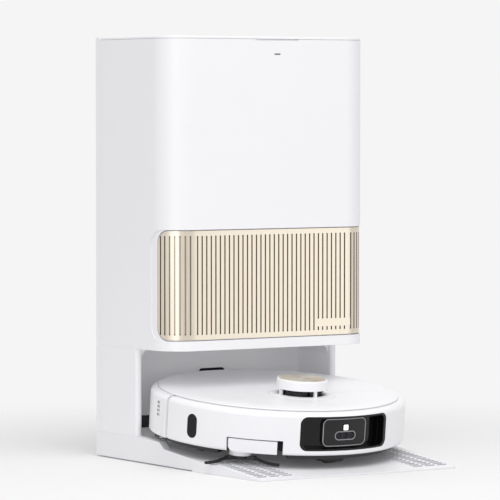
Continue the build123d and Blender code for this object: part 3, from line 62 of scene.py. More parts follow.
# The robot is drawn level about its own centre and then leans on the sloping plate.
WHEEL_RADIUS = 36 * MM
ROBOT_RADIUS = 177 * MM
BLOCK_RADIUS = 168 * MM
JOINTS = {joint["name"]: joint for joint in frame["joints"]}
AXLE = Vector(JOINTS["chassis_pitch"]["pos_m"])
UPRIGHT = Vector(JOINTS["lidar_spin"]["axis"])
LEAN = math.atan2(-UPRIGHT.y, UPRIGHT.z)
DOCKED = (
    Matrix.Translation(AXLE)
    @ Matrix.Rotation(LEAN, 4, "X")
    @ Matrix.Translation((0, 0, -WHEEL_RADIUS))
)


def linear(code):
    """sRGB hex to linear RGBA."""
    channels = [int(code[i:i + 2], 16) / 255 for i in (1, 3, 5)]
    return [c / 12.92 if c <= 0.04045 else ((c + 0.055) / 1.055) ** 2.4 for c in channels] + [1.0]


def shade(name, code, words):
    """A colour property, given as a hex value."""
    return FloatVectorProperty(
        name=name, description=words, subtype="COLOR", size=4, min=0, max=1, default=linear(code)
    )


def length(name, millimetres, words):
    """A length property, given in millimetres."""
    return FloatProperty(
        name=name, description=words, unit="LENGTH", min=0, default=millimetres * MM
    )


class VacColours(bpy.types.PropertyGroup):
    """Colours of the mouldings and trim."""

    shell: shade("Shell", "#EFEFF2", "White mouldings of the station and the robot")
    base: shade("Base", "#ECECEF", "Station base and ramp")
    bay: shade("Bay", "#F0F0F2", "Inner faces of the docking bay")
    gold: shade("Gold", "#E5DBCB", "Front panel and turret disc")
    black: shade("Black", "#0E0E10", "Sensor windows")
    chassis: shade("Chassis", "#202022", "Chassis and running gear")
    cloth: shade("Mop cloth", "#77777B", "Mop pads")
    fleece: shade("Fleece", "#E4E2DC", "Dust bag")
    tread: shade("Tread", "#8C8C90", "Soft anti-slip dashes on the ramp")
    lamp: shade("Lamp", "#FFFFFF", "Headlamp")
    studio: shade("Studio", "#F5F5F5", "Floor and background")


class VacSizes(bpy.types.PropertyGroup):
    """Sizes of the small trim."""

    lamp_side: length("Headlamp", 7.5, "Side of the square headlamp")
    lamp_height: length("Headlamp height", 55.0, "Middle of the headlamp over the robot's floor")
    bezel_length: length("Lens bezel length", 33.5, "Length of the bezel round the lenses")
    bezel_height: length("Lens bezel height", 12.0, "Height of the bezel round the lenses")
    bezel_place: length("Lens bezel place", 44.0, "Middle of the lenses over the robot's floor")
    # painted highlight: a pale rim round the sensor block stands in for the light on its edges
    highlight_rim_length: length("Sensor surround length", 69.6, "Length of the rim of the sensor block")
    highlight_rim_height: length("Sensor surround height", 37.6, "Height of the rim of the sensor block")
    highlight_rim_corner: length("Sensor surround corner", 7.8, "Corner radius of that rim")
    highlight_rim_place: length("Sensor surround place", 48.5, "Middle of that rim over the floor")
    status_length: length("Status light length", 10.0, "Length of the light on the tower")
    status_height: length("Status light height", 2.0, "Height of the light on the tower")
    status_place: length("Status light place", 566.0, "Height of that light over the floor")
    status_shift: length("Status light shift", 8.0, "Distance of that light right of the middle")
    bay_round: length("Bay corner", 24.0, "Rounding of the docking bay's upper corners")
    # painted shade: dark patches at the foot of the bay's back wall
    shade_patch_height: length("Bay stop height", 20.0, "Height of the rubber stops of the bay")
    shade_patch_length: length("Bay stop length", 34.0, "Length of the rubber stops of the bay")
    shade_patch_place: length("Bay stop place", 100.0, "Distance of the stops from the middle of the bay")
    grain: length("Moulded grain", 0.9, "Grain of the mouldings, drawn coarse enough to show")


# Materials

# sockets of the colour mix node
MIX_SHARE, MIX_LOW, MIX_HIGH, MIX_RESULT = 0, 6, 7, 2
# rings that the wave texture draws over a length of 1 / scale
WAVES_PER_UNIT = 20


def add(tree, kind, values=None, links=None, **settings):
    """One node with its settings, its input values and the sockets that feed it."""
    made = tree.nodes.new(kind)
    for key, value in settings.items():
        setattr(made, key, value)
    for key, value in (values or {}).items():
        made.inputs[key].default_value = value
    for key, socket in (links or {}).items():
        tree.links.new(socket, made.inputs[key])
    return made


def object_place(tree):
    """Place of a point in its object, in metres."""
    return add(tree, "ShaderNodeTexCoord").outputs["Object"]


def mottle(tree, place, size, detail):
    """Cloudy noise with spots of a given size."""
    return add(
        tree, "ShaderNodeTexNoise", {"Scale": 1 / size, "Detail": detail}, {"Vector": place}
    ).outputs["Fac"]


def blend(tree, share, low, high):
    """Colour between two others; each of the three is a value or a socket."""
    made = add(tree, "ShaderNodeMix", data_type="RGBA")
    for index, value in ((MIX_SHARE, share), (MIX_LOW, low), (MIX_HIGH, high)):
        if isinstance(value, bpy.types.NodeSocket):
            tree.links.new(value, made.inputs[index])
        else:
            made.inputs[index].default_value = value
    return made.outputs[MIX_RESULT]


def spread(tree, value, low, high):
    """A value from 0 to 1, stretched over another range."""
    return add(
        tree, "ShaderNodeMapRange", {"To Min": low, "To Max": high}, {"Value": value}
    ).outputs["Result"]


def relief(tree, shader, height, strength, depth, edge=0.0, invert=False):
    """Bump of a given depth; where an edge radius is given, edges are drawn round under it."""
    bump = add(
        tree, "ShaderNodeBump", {"Strength": strength, "Distance": depth}, {"Height": height},
        invert=invert,
    )
    if edge:
        soft = add(tree, "ShaderNodeBevel", {"Radius": edge}, samples=4)
        tree.links.new(soft.outputs["Normal"], bump.inputs["Normal"])
    tree.links.new(bump.outputs["Normal"], shader.inputs["Normal"])


def blank(name, **values):
    """A material with its shader; values go straight on the shader's sockets."""
    material = bpy.data.materials.new(name)
    material.use_nodes = True
    tree = material.node_tree
    shader = tree.nodes["Principled BSDF"]
    for key, value in values.items():
        shader.inputs[key.replace("_", " ")].default_value = value
    return material, tree, shader


def darker(colour, share):
    """The same hue with a share of its light."""
    return [c * share for c in colour[:3]] + [1.0]


def moulded_abs(name, colour, roughness, grain, depth, edge=0.0):
    """Injection-moulded ABS: even colour, a broad soft gloss, a faint spark-eroded grain."""
    material, tree, shader = blank(name, IOR=1.54, Roughness=roughness)
    place = object_place(tree)
    # flow of the melt: cloudy, hand-wide changes of tone and gloss
    flow = mottle(tree, place, 60 * MM, 2.0)
    tone = blend(tree, flow, darker(colour, 0.98), colour)
    tree.links.new(tone, shader.inputs["Base Color"])
    gloss = spread(tree, flow, roughness - 0.04, roughness + 0.04)
    tree.links.new(gloss, shader.inputs["Roughness"])
    relief(tree, shader, mottle(tree, place, grain, 1.0), 0.25, depth, edge)
    return material


def anodised_aluminium(colour):
    """Satin anodised aluminium: warm metal, broad highlights, a hairline grain along the ribs,
    painted shade in the grooves.
    """
    material, tree, shader = blank("anodised_champagne_aluminium", Metallic=1.0, Roughness=0.3)
    hair, run = 1.6 * MM, 60 * MM
    drawn = add(
        tree, "ShaderNodeMapping", {"Scale": (1 / hair, 1 / hair, 1 / run)},
        {"Vector": object_place(tree)},
    ).outputs["Vector"]
    lines = mottle(tree, drawn, 1.0, 2.0)
    tone = blend(tree, lines, darker(colour, 0.8), colour)
    # painted shade: an occlusion mask darkens the base colour in the grooves
    groove_occlusion = add(tree, "ShaderNodeAmbientOcclusion", {"Distance": 3 * MM}, samples=8).outputs["AO"]
    unshaded_share = add(
        tree, "ShaderNodeMapRange", {"From Min": 0.35, "From Max": 0.8}, {"Value": groove_occlusion}
    ).outputs["Result"]
    painted_groove_shade = [c * share for c, share in zip(colour, (0.12, 0.1, 0.07))] + [1.0]
    tree.links.new(blend(tree, unshaded_share, painted_groove_shade, tone), shader.inputs["Base Color"])
    tree.links.new(spread(tree, lines, 0.24, 0.36), shader.inputs["Roughness"])
    relief(tree, shader, lines, 0.15, 0.05 * MM)
    return material


def spun_aluminium(colour, centre):
    """Lathe-turned aluminium: fine rings that fan the highlights out from the middle, and two fans
    of painted highlight and shade in its colour.
    """
    material, tree, shader = blank(
        "spun_champagne_aluminium", Metallic=1.0, Roughness=0.3, Anisotropic=0.85
    )
    round_the_middle = add(tree, "ShaderNodeTangent", direction_type="RADIAL", axis="Z")
    tree.links.new(round_the_middle.outputs["Tangent"], shader.inputs["Tangent"])
    centred = add(
        tree, "ShaderNodeMapping", {"Location": -centre}, {"Vector": object_place(tree)}
    ).outputs["Vector"]
    # painted highlight and shade: the colour is lighter and darker in two fixed fans round the
    # middle, where a spun face would catch the light
    turn = add(tree, "ShaderNodeTexGradient", links={"Vector": centred}, gradient_type="RADIAL")
    painted_fans = add(
        tree, "ShaderNodeMath", {1: 2 * math.tau}, {0: turn.outputs["Fac"]}, operation="MULTIPLY"
    ).outputs["Value"]
    painted_fans = add(tree, "ShaderNodeMath", links={0: painted_fans}, operation="SINE").outputs["Value"]
    painted_fan_share = add(
        tree, "ShaderNodeMapRange", {"From Min": -1.0, "From Max": 1.0}, {"Value": painted_fans}
    ).outputs["Result"]
    painted_highlight = [min(1.0, c * 1.35) for c in colour[:3]] + [1.0]
    tone = blend(tree, painted_fan_share, darker(colour, 0.78), painted_highlight)
    tree.links.new(tone, shader.inputs["Base Color"])
    # turning marks of about 0.1 mm, drawn at 0.7 mm so that they show
    mark = 0.7 * MM
    rings = add(
        tree, "ShaderNodeTexWave", {"Scale": 1 / (mark * WAVES_PER_UNIT), "Distortion": 0.3},
        {"Vector": centred}, wave_type="RINGS", rings_direction="Z",
    ).outputs["Fac"]
    relief(tree, shader, rings, 0.5, 0.12 * MM)
    return material


def polished_polycarbonate(name, colour, roughness, gloss=0.25, edge=0.0):
    """Polished dark polycarbonate: deep and mirror-like, with a trace of moulding ripple."""
    material, tree, shader = blank(
        name, IOR=1.585, Roughness=roughness, Specular_IOR_Level=gloss
    )
    ripple = mottle(tree, object_place(tree), 18 * MM, 1.0)
    tone = blend(tree, ripple, darker(colour, 0.8), colour)
    tree.links.new(tone, shader.inputs["Base Color"])
    relief(tree, shader, ripple, 0.1, 0.1 * MM, edge)
    return material


def rubber(name, colour, roughness):
    """Moulded rubber: dark, dull, with a dusty bloom in its pores."""
    material, tree, shader = blank(name, IOR=1.52, Roughness=roughness)
    pores = mottle(tree, object_place(tree), 1.2 * MM, 3.0)
    bloom = [min(1.0, c * 1.8 + 0.004) for c in colour[:3]] + [1.0]
    tree.links.new(blend(tree, pores, colour, bloom), shader.inputs["Base Color"])
    relief(tree, shader, pores, 0.3, 0.2 * MM)
    return material


def nylon(colour):
    """Nylon bristle: dark filament with a narrow gloss that breaks from strand to strand."""
    material, tree, shader = blank("nylon_bristle", IOR=1.53, Roughness=0.35)
    strand = mottle(tree, object_place(tree), 0.5 * MM, 0.0)
    tone = blend(tree, strand, darker(colour, 0.6), darker(colour, 2.2))
    tree.links.new(tone, shader.inputs["Base Color"])
    return material


def pile(name, colour, spacing, depth, roughness):
    """Looped or felted fibre: matt, soft at grazing light, with tufts of their real spacing and
    painted shade in the hollows between them.
    """
    material, tree, shader = blank(
        name, IOR=1.46, Roughness=roughness, Sheen_Weight=0.5, Sheen_Roughness=0.5
    )
    place = object_place(tree)
    tufts = add(
        tree, "ShaderNodeTexVoronoi", {"Scale": 1 / spacing, "Randomness": 0.8}, {"Vector": place}
    ).outputs["Distance"]
    fibres = mottle(tree, place, spacing / 3, 3.0)
    height = add(
        tree, "ShaderNodeMath", operation="MULTIPLY_ADD",
        links={0: fibres, 1: fibres, 2: tufts},
    ).outputs["Value"]
    # painted shade: the colour darkens towards the hollows between the tufts
    tone = blend(tree, tufts, colour, darker(colour, 0.6))
    tree.links.new(tone, shader.inputs["Base Color"])
    relief(tree, shader, height, 0.6, depth, invert=True)
    return material


def clear_polycarbonate(name, colour, transmission):
    """Clear moulded tank plastic: tinted, see-through, with soft flow waves."""
    material, tree, shader = blank(
        name, IOR=1.585, Roughness=0.12, Transmission_Weight=transmission, Base_Color=colour
    )
    waves = mottle(tree, object_place(tree), 30 * MM, 1.0)
    relief(tree, shader, waves, 0.2, 0.3 * MM)
    return material


def plated_metal(name, colour, roughness):
    """Turned and plated metal: cool, with fine tool marks."""
    material, tree, shader = blank(name, Metallic=1.0, Roughness=roughness, Base_Color=colour)
    marks = mottle(tree, object_place(tree), 0.4 * MM, 2.0)
    gloss = spread(tree, marks, roughness - 0.08, roughness + 0.1)
    tree.links.new(gloss, shader.inputs["Roughness"])
    relief(tree, shader, marks, 0.1, 0.05 * MM)
    return material


def circuit_board():
    """Glass-epoxy board under green solder mask, with paler copper runs between its fields."""
    material, tree, shader = blank("solder_masked_board", IOR=1.5, Roughness=0.4)
    runs = add(
        tree, "ShaderNodeTexBrick",
        {"Scale": 1 / (9 * MM), "Mortar Size": 0.02, "Color1": linear("#1F5B33"),
         "Color2": linear("#1A4F2C"), "Mortar": linear("#3F8A55")},
        {"Vector": object_place(tree)},
    ).outputs["Color"]
    tree.links.new(runs, shader.inputs["Base Color"])
    return material


def glowing(name, colour, strength):
    """Lit diffuser: opal plastic with a small light behind it."""
    material, _, _ = blank(
        name, IOR=1.5, Roughness=0.35, Base_Color=colour,
        Emission_Color=colour, Emission_Strength=strength,
    )
    return material


def dress(material, *names):
    """Gives CAD nodes their finish."""
    for name in names:
        mesh = NODES[name].data
        mesh.materials.clear()
        mesh.materials.append(material)


def piece(bm, name, material, body, place=None, sharp=35.0):
    """Turns a bmesh into a piece that rides on a body, with its place in its mesh."""
    bmesh.ops.remove_doubles(bm, verts=bm.verts, dist=0.01 * MM)
    bmesh.ops.recalc_face_normals(bm, faces=bm.faces)
    if place:
        bmesh.ops.transform(bm, matrix=place, verts=bm.verts)
    mesh = bpy.data.meshes.new(name)
    bm.to_mesh(mesh)
    bm.free()
    mesh.shade_smooth()
    mesh.set_sharp_from_angle(angle=math.radians(sharp))
    mesh.materials.append(material)
    made = bpy.data.objects.new(name, mesh)
    bpy.context.scene.collection.objects.link(made)
    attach(made, body)
    return made


def rounded_plate(bm, width, height, thick, corner, edge):
    """A plate across X and Z with round corners and softened front edges, its back at Y = 0."""
    bmesh.ops.create_cube(bm, size=1.0)
    bmesh.ops.transform(
        bm, verts=bm.verts,
        matrix=Matrix.Translation((0, -thick / 2, 0)) @ Matrix.Diagonal((width, thick, height, 1)),
    )
    upright = [e for e in bm.edges if abs(e.verts[0].co.y - e.verts[1].co.y) > thick / 2]
    bmesh.ops.bevel(
        bm, geom=upright, offset=corner, offset_type="OFFSET", segments=6,
        profile=0.5, affect="EDGES", material=-1,
    )
    front = [e for e in bm.edges if all(v.co.y < -thick * 0.9 for v in e.verts)]
    bmesh.ops.bevel(
        bm, geom=front, offset=edge, offset_type="OFFSET", segments=3,
        profile=0.5, affect="EDGES", material=-1,
    )


def outline(width, height, corner, arc=8, run=12):
    """Points of a round-cornered rectangle in X and Z, spaced closely enough to be bent."""
    points = []
    for quarter in range(4):
        turn = math.radians(90 * quarter)
        side = Vector((1, 1)) if quarter in (0, 2) else Vector((-1, 1))
        middle = side * (1 if quarter < 2 else -1)
        middle = Vector((middle.x * (width / 2 - corner), middle.y * (height / 2 - corner)))
        for step in range(arc + 1):
            angle = turn + math.radians(90 * step / arc)
            points.append(middle + corner * Vector((math.cos(angle), math.sin(angle))))
    spaced = []
    for start, end in zip(points, points[1:] + points[:1]):
        steps = run if (end - start).length > 3 * corner / arc else 1
        spaced += [start.lerp(end, step / steps) for step in range(steps)]
    return spaced


def rim_plate(bm, width, height, corner, rim, thick):
    """A round-cornered rim across X and Z, open in the middle, its back at Y = 0."""
    loops = []
    for inset, y in ((0, 0), (0, -thick), (rim, -thick), (rim, 0)):
        points = outline(width - 2 * inset, height - 2 * inset, corner - inset)
        loops.append([bm.verts.new((p.x, y, p.y)) for p in points])
    for loop, other in zip(loops, loops[1:] + loops[:1]):
        for k in range(len(loop)):
            bm.faces.new((loop[k - 1], loop[k], other[k], other[k - 1]))


def wrap(bm, radius):
    """Bends a flat trim round the robot's upright axis, so that it lies on a round face."""
    for v in bm.verts:
        v.co.y += radius - math.sqrt(radius**2 - v.co.x**2)


def on_block(sunk, height):
    """Place on the front of the robot's sensor block, sunk into it, at a height over its floor."""
    return DOCKED @ Matrix.Translation((0, sunk - BLOCK_RADIUS, height))


# Pieces

WHITE_NODES = (
    "tower_shell", "top_lid", "rear_cover", "left_side_wall", "right_side_wall",
    "compartment_liner", "bumper", "rear_band", "top_cover", "turret_cage", "side_brush_arm",
)
CHASSIS_NODES = (
    "chassis_pan", "left_gearbox", "right_gearbox", "left_wheel_hub", "right_wheel_hub",
    "caster_fork", "caster_wheel", "brush_guard", "mop_carrier", "left_mop_plate",
    "right_mop_plate", "suction_fan", "suction_motor", "power_inlet", "side_brush_hub",
)

# vents of the robot's left side and dashes of the ramp, as the solids have them
VENT_ANGLE = math.radians(9.5)
VENT_ROWS = 4
VENT_PITCH_Y = 5.4 * MM
VENT_PITCH_Z = 5.6 * MM
VENT_HEIGHT = 55.5 * MM
VENT_SET_BACK = 1.5 * MM
TREAD_COLUMNS = (-147, -127, -107, 107, 127, 147)
TREAD_ROWS = 14
TREAD_PITCH = 9.5 * MM


class VAC_OT_mouldings(bpy.types.Operator):
    """White, grey and black mouldings of the station and the robot"""

    bl_idname = "vac.mouldings"
    bl_label = "Mouldings"

    def execute(self, context):
        tint, grain = context.scene.vac_colours, context.scene.vac_sizes.grain
        white = moulded_abs("moulded_white_abs", tint.shell[:], 0.34, grain, 0.04 * MM, 0.7 * MM)
        dress(white, *WHITE_NODES)
        base = moulded_abs("textured_white_abs", tint.base[:], 0.5, grain, 0.12 * MM, 0.7 * MM)
        dress(base, "ramp_plate", "station_base")
        bay = moulded_abs("textured_grey_abs", tint.bay[:], 0.55, grain, 0.12 * MM)
        dress(bay, "bay_back_wall", "bay_ceiling", "washboard")
        black = moulded_abs("textured_black_abs", tint.chassis[:], 0.5, grain, 0.1 * MM, 0.4 * MM)
        dress(black, *CHASSIS_NODES)
        return {"FINISHED"}


class VAC_OT_gold_trim(bpy.types.Operator):
    """Ribbed front panel and turret disc"""

    bl_idname = "vac.gold_trim"
    bl_label = "Gold trim"

    def execute(self, context):
        gold = context.scene.vac_colours.gold[:]
        dress(anodised_aluminium(gold), "front_panel")
        low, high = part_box("turret_disc")
        dress(spun_aluminium(gold, (low + high) / 2), "turret_disc")
        return {"FINISHED"}


class VAC_OT_sensors(bpy.types.Operator):
    """Dark windows, lenses, lens bezel and headlamp"""

    bl_idname = "vac.sensors"
    bl_label = "Sensors"

    def execute(self, context):
        tint, size = context.scene.vac_colours, context.scene.vac_sizes
        window = polished_polycarbonate(
            "polished_black_polycarbonate", tint.black[:], 0.12, 0.22, 1.2 * MM
        )
        dress(window, "front_window", "side_sensor_window", "signal_window", "lidar_rotor")
        satin = polished_polycarbonate(
            "satin_grey_polycarbonate", linear("#1E1E20"), 0.28, 0.25, 1.6 * MM
        )
        dress(satin, "sensor_block")
        glass = polished_polycarbonate("coated_lens_glass", linear("#1A1524"), 0.03)
        dress(glass, "camera_lenses")
        # satin silver for the lens bezel; on the sensor block's rim the same pale plastic is a
        # painted highlight
        silver_trim_and_highlight = polished_polycarbonate("satin_silver_polycarbonate_and_painted_highlight", linear("#A2A2A6"), 0.3, 0.5)

        bm = bmesh.new()
        pill = size.bezel_height / 2 - 0.1 * MM
        rim_plate(bm, size.bezel_length, size.bezel_height, pill, 1.0 * MM, 0.7 * MM)
        wrap(bm, BLOCK_RADIUS)
        piece(bm, "lens_bezel", silver_trim_and_highlight, "bumper", on_block(0.3 * MM, size.bezel_place))

        # painted highlight: pale rim round the edge of the sensor block
        bm = bmesh.new()
        rim_plate(
            bm, size.highlight_rim_length, size.highlight_rim_height, size.highlight_rim_corner, 1.2 * MM, 0.6 * MM
        )
        wrap(bm, BLOCK_RADIUS)
        place = on_block(0.3 * MM, size.highlight_rim_place)
        piece(bm, "sensor_highlight_rim", silver_trim_and_highlight, "bumper", place)

        bm = bmesh.new()
        side = size.lamp_side + 2.4 * MM
        rounded_plate(bm, side, side, 0.6 * MM, 1.6 * MM, 0.2 * MM)
        place = on_block(0.2 * MM, size.lamp_height)
        piece(bm, "headlamp_surround", window, "bumper", place)
        bm = bmesh.new()
        rounded_plate(bm, size.lamp_side, size.lamp_side, 1.0 * MM, 1.0 * MM, 0.3 * MM)
        lamp = glowing("opal_headlamp_diffuser", tint.lamp[:], 0.6)
        piece(bm, "headlamp", lamp, "bumper", place)
        return {"FINISHED"}


class VAC_OT_status_light(bpy.types.Operator):
    """Small light under the lid on the tower's front"""

    bl_idname = "vac.status_light"
    bl_label = "Status light"

    def execute(self, context):
        size = context.scene.vac_sizes
        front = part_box("tower_shell")[0].y
        bm = bmesh.new()
        corner = size.status_height * 0.45
        rounded_plate(bm, size.status_length, size.status_height, 0.8 * MM, corner, 0.15 * MM)
        smoked = polished_polycarbonate("smoked_polycarbonate", linear("#77777B"), 0.25)
        place = Matrix.Translation((size.status_shift, front + 0.5 * MM, size.status_place))
        piece(bm, "status_light", smoked, "station", place)
        return {"FINISHED"}


class VAC_OT_vents_and_treads(bpy.types.Operator):
    """Near-black plates in the robot's side vents as painted shade, and soft dashes on the ramp"""

    bl_idname = "vac.vents_and_treads"
    bl_label = "Vents and treads"

    def execute(self, context):
        # painted shade: near-black plates set back in the vent slots stand in for the shade inside
        # them
        vent_shade_fill = rubber("vent_painted_shade_rubber", linear("#0A0A0B"), 0.9)
        bm = bmesh.new()
        middle = ROBOT_RADIUS * math.sin(VENT_ANGLE)
        face_left = Matrix.Rotation(math.radians(-90), 4, "Z")
        for column in (-1, 0, 1):
            y = middle + column * VENT_PITCH_Y
            x = -math.sqrt(ROBOT_RADIUS**2 - y**2) + VENT_SET_BACK
            for row in range(VENT_ROWS):
                slot = bmesh.new()
                rounded_plate(slot, 3.3 * MM, 4.1 * MM, 1.2 * MM, 1.6 * MM, 0.1 * MM)
                z = VENT_HEIGHT + (row - (VENT_ROWS - 1) / 2) * VENT_PITCH_Z
                place = Matrix.Translation((x, y, z)) @ face_left
                bmesh.ops.transform(slot, matrix=place, verts=slot.verts)
                self.merge(bm, slot)
        piece(bm, "vent_shade_plates", vent_shade_fill, "robot", DOCKED)

        soft = rubber("soft_grey_elastomer", context.scene.vac_colours.tread[:], 0.7)
        bm = bmesh.new()
        lay = Matrix.Rotation(math.radians(-90), 4, "X")
        for x in TREAD_COLUMNS:
            for row in range(TREAD_ROWS):
                dash = bmesh.new()
                rounded_plate(dash, 15.1 * MM, 2.5 * MM, 1.1 * MM, 0.9 * MM, 0.3 * MM)
                y = (row - (TREAD_ROWS - 1) / 2) * TREAD_PITCH
                place = Matrix.Translation((x * MM, y, 0)) @ lay
                bmesh.ops.transform(dash, matrix=place, verts=dash.verts)
                self.merge(bm, dash)
        low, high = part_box("ramp_plate")
        middle = (low.y + high.y) / 2 / math.cos(LEAN)
        place = DOCKED @ Matrix.Translation((0, middle, -0.3 * MM))
        piece(bm, "tread_dashes", soft, "station", place)
        return {"FINISHED"}

    @staticmethod
    def merge(bm, other):
        """Adds one bmesh to another."""
        mesh = bpy.data.meshes.new("part")
        other.to_mesh(mesh)
        other.free()
        bm.from_mesh(mesh)
        bpy.data.meshes.remove(mesh)


class VAC_OT_bay_trim(bpy.types.Operator):
    """Round upper corners of the docking bay and dark rubber patches at its foot, painted shade of
    the recess there
    """

    bl_idname = "vac.bay_trim"
    bl_label = "Bay trim"

    def execute(self, context):
        size = context.scene.vac_sizes
        wall_low, wall_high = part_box("left_side_wall")
        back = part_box("bay_back_wall")[0]
        sunk, steps, reach = 0.3 * MM, 12, size.bay_round
        front = wall_low.y + 8 * MM
        bm = bmesh.new()
        for side in (-1, 1):
            corner = Vector((side * (sunk - back.x), front, wall_high.z + sunk))
            points = [corner]
            for step in range(steps + 1):
                turn = math.radians(90 * step / steps)
                points.append(corner + Vector((
                    side * reach * (math.sin(turn) - 1), 0, reach * (math.cos(turn) - 1)
                )))
            face = bm.faces.new([bm.verts.new(p) for p in points])
            made = bmesh.ops.extrude_face_region(bm, geom=[face])["geom"]
            moved = [v for v in made if isinstance(v, bmesh.types.BMVert)]
            bmesh.ops.translate(bm, vec=(0, back.y - front, 0), verts=moved)
        white = bpy.data.materials["moulded_white_abs"]
        piece(bm, "bay_corner_rounds", white, "station")

        # painted shade: dark patches at the foot of the back wall stand in for the shaded recess
        # below it
        dark_patch = rubber("bay_shade_patch_rubber", linear("#2A2A2C"), 0.7)
        for side, name in ((-1, "left_bay_shade_patch"), (1, "right_bay_shade_patch")):
            bm = bmesh.new()
            rounded_plate(bm, size.shade_patch_length, size.shade_patch_height, 3 * MM, 3 * MM, 0.8 * MM)
            place = Matrix.Translation((
                side * size.shade_patch_place, back.y + 0.2 * MM, back.z + size.shade_patch_height / 2
            ))
            piece(bm, name, dark_patch, "station", place)
        return {"FINISHED"}


class VAC_OT_running_gear(bpy.types.Operator):
    """Tyres, feet, brushes and metal parts"""

    bl_idname = "vac.running_gear"
    bl_label = "Running gear"

    def execute(self, context):
        dress(rubber("tyre_rubber", linear("#222224"), 0.75), "left_tyre", "right_tyre")
        dress(rubber("soft_black_rubber", linear("#2A2A2C"), 0.6), "rubber_feet", "main_brush")
        dress(nylon(linear("#1C1C1E")), "side_brush_bristles")
        dress(
            plated_metal("zinc_plated_steel", linear("#B9BABD"), 0.35),
            "lid_hinge_pins", "station_screws", "chassis_screws",
        )
        dress(
            plated_metal("nickel_plated_brass", linear("#D9D5CC"), 0.2),
            "charge_contacts", "charge_plates",
        )
        return {"FINISHED"}


class VAC_OT_works(bpy.types.Operator):
    """Tanks, dust bin, duct and closed works"""

    bl_idname = "vac.works"
    bl_label = "Works"

    def execute(self, context):
        clear = clear_polycarbonate("clear_polycarbonate", linear("#D5E2EA"), 0.75)
        dress(clear, "clean_water_tank")
        smoked = clear_polycarbonate("smoked_clear_polycarbonate", linear("#6C6C72"), 0.6)
        dress(smoked, "dirty_water_tank", "dust_bin")
        grey = moulded_abs("textured_dark_grey_abs", linear("#8C8C90"), 0.5, 1.0 * MM, 0.1 * MM)
        dress(grey, "dust_duct", "water_pump", "power_supply", "battery_pack")
        dress(circuit_board(), "main_board")
        return {"FINISHED"}


class VAC_OT_mop_pads(bpy.types.Operator):
    """Two round microfibre mop pads with a bound rim"""

    bl_idname = "vac.mop_pads"
    bl_label = "Mop pads"

    def execute(self, context):
        grey = context.scene.vac_colours.cloth[:]
        cloth = pile("microfibre_loop_pile", grey, 2.2 * MM, 0.8 * MM, 0.9)
        # radius and height in millimetres, from the middle of the pile round the rim to the top
        section = (
            (0.0, 0.7), (14.0, 0.35), (30.0, 0.2), (46.0, 0.25), (56.0, 0.45), (58.6, 1.3),
            (59.6, 1.3), (61.0, 0.5), (63.4, 0.7), (65.2, 1.9), (65.7, 3.2), (65.0, 4.7),
            (63.0, 5.7), (58.0, 6.0), (30.0, 6.0), (0.0, 6.0),
        )
        for side in ("left", "right"):
            spin = Vector(JOINTS[side + "_mop_spin"]["pos_m"])
            centre = DOCKED.inverted() @ spin
            bm = bmesh.new()
            points = [bm.verts.new((r * MM, 0, z * MM)) for r, z in section]
            edges = [bm.edges.new(pair) for pair in zip(points, points[1:])]
            bmesh.ops.spin(
                bm, geom=points + edges, cent=(0, 0, 0), axis=(0, 0, 1),
                angle=math.tau, steps=96, use_merge=True,
            )
            bmesh.ops.remove_doubles(bm, verts=bm.verts, dist=0.01 * MM)
            for v in bm.verts:
                reach = math.hypot(v.co.x, v.co.y)
                tuft = noise.noise(v.co / (7 * MM)) * 0.25 * MM
                if 3 * MM < reach < 57 * MM and v.co.z < 3 * MM:
                    v.co.z = max(0.05 * MM, v.co.z + tuft)
            place = DOCKED @ Matrix.Translation((centre.x, centre.y, 0))
            pad = piece(bm, side + "_mop_cloth", cloth, side + "_mop", place, 80.0)
            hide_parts(side + "_mop_pad")
        return {"FINISHED"}


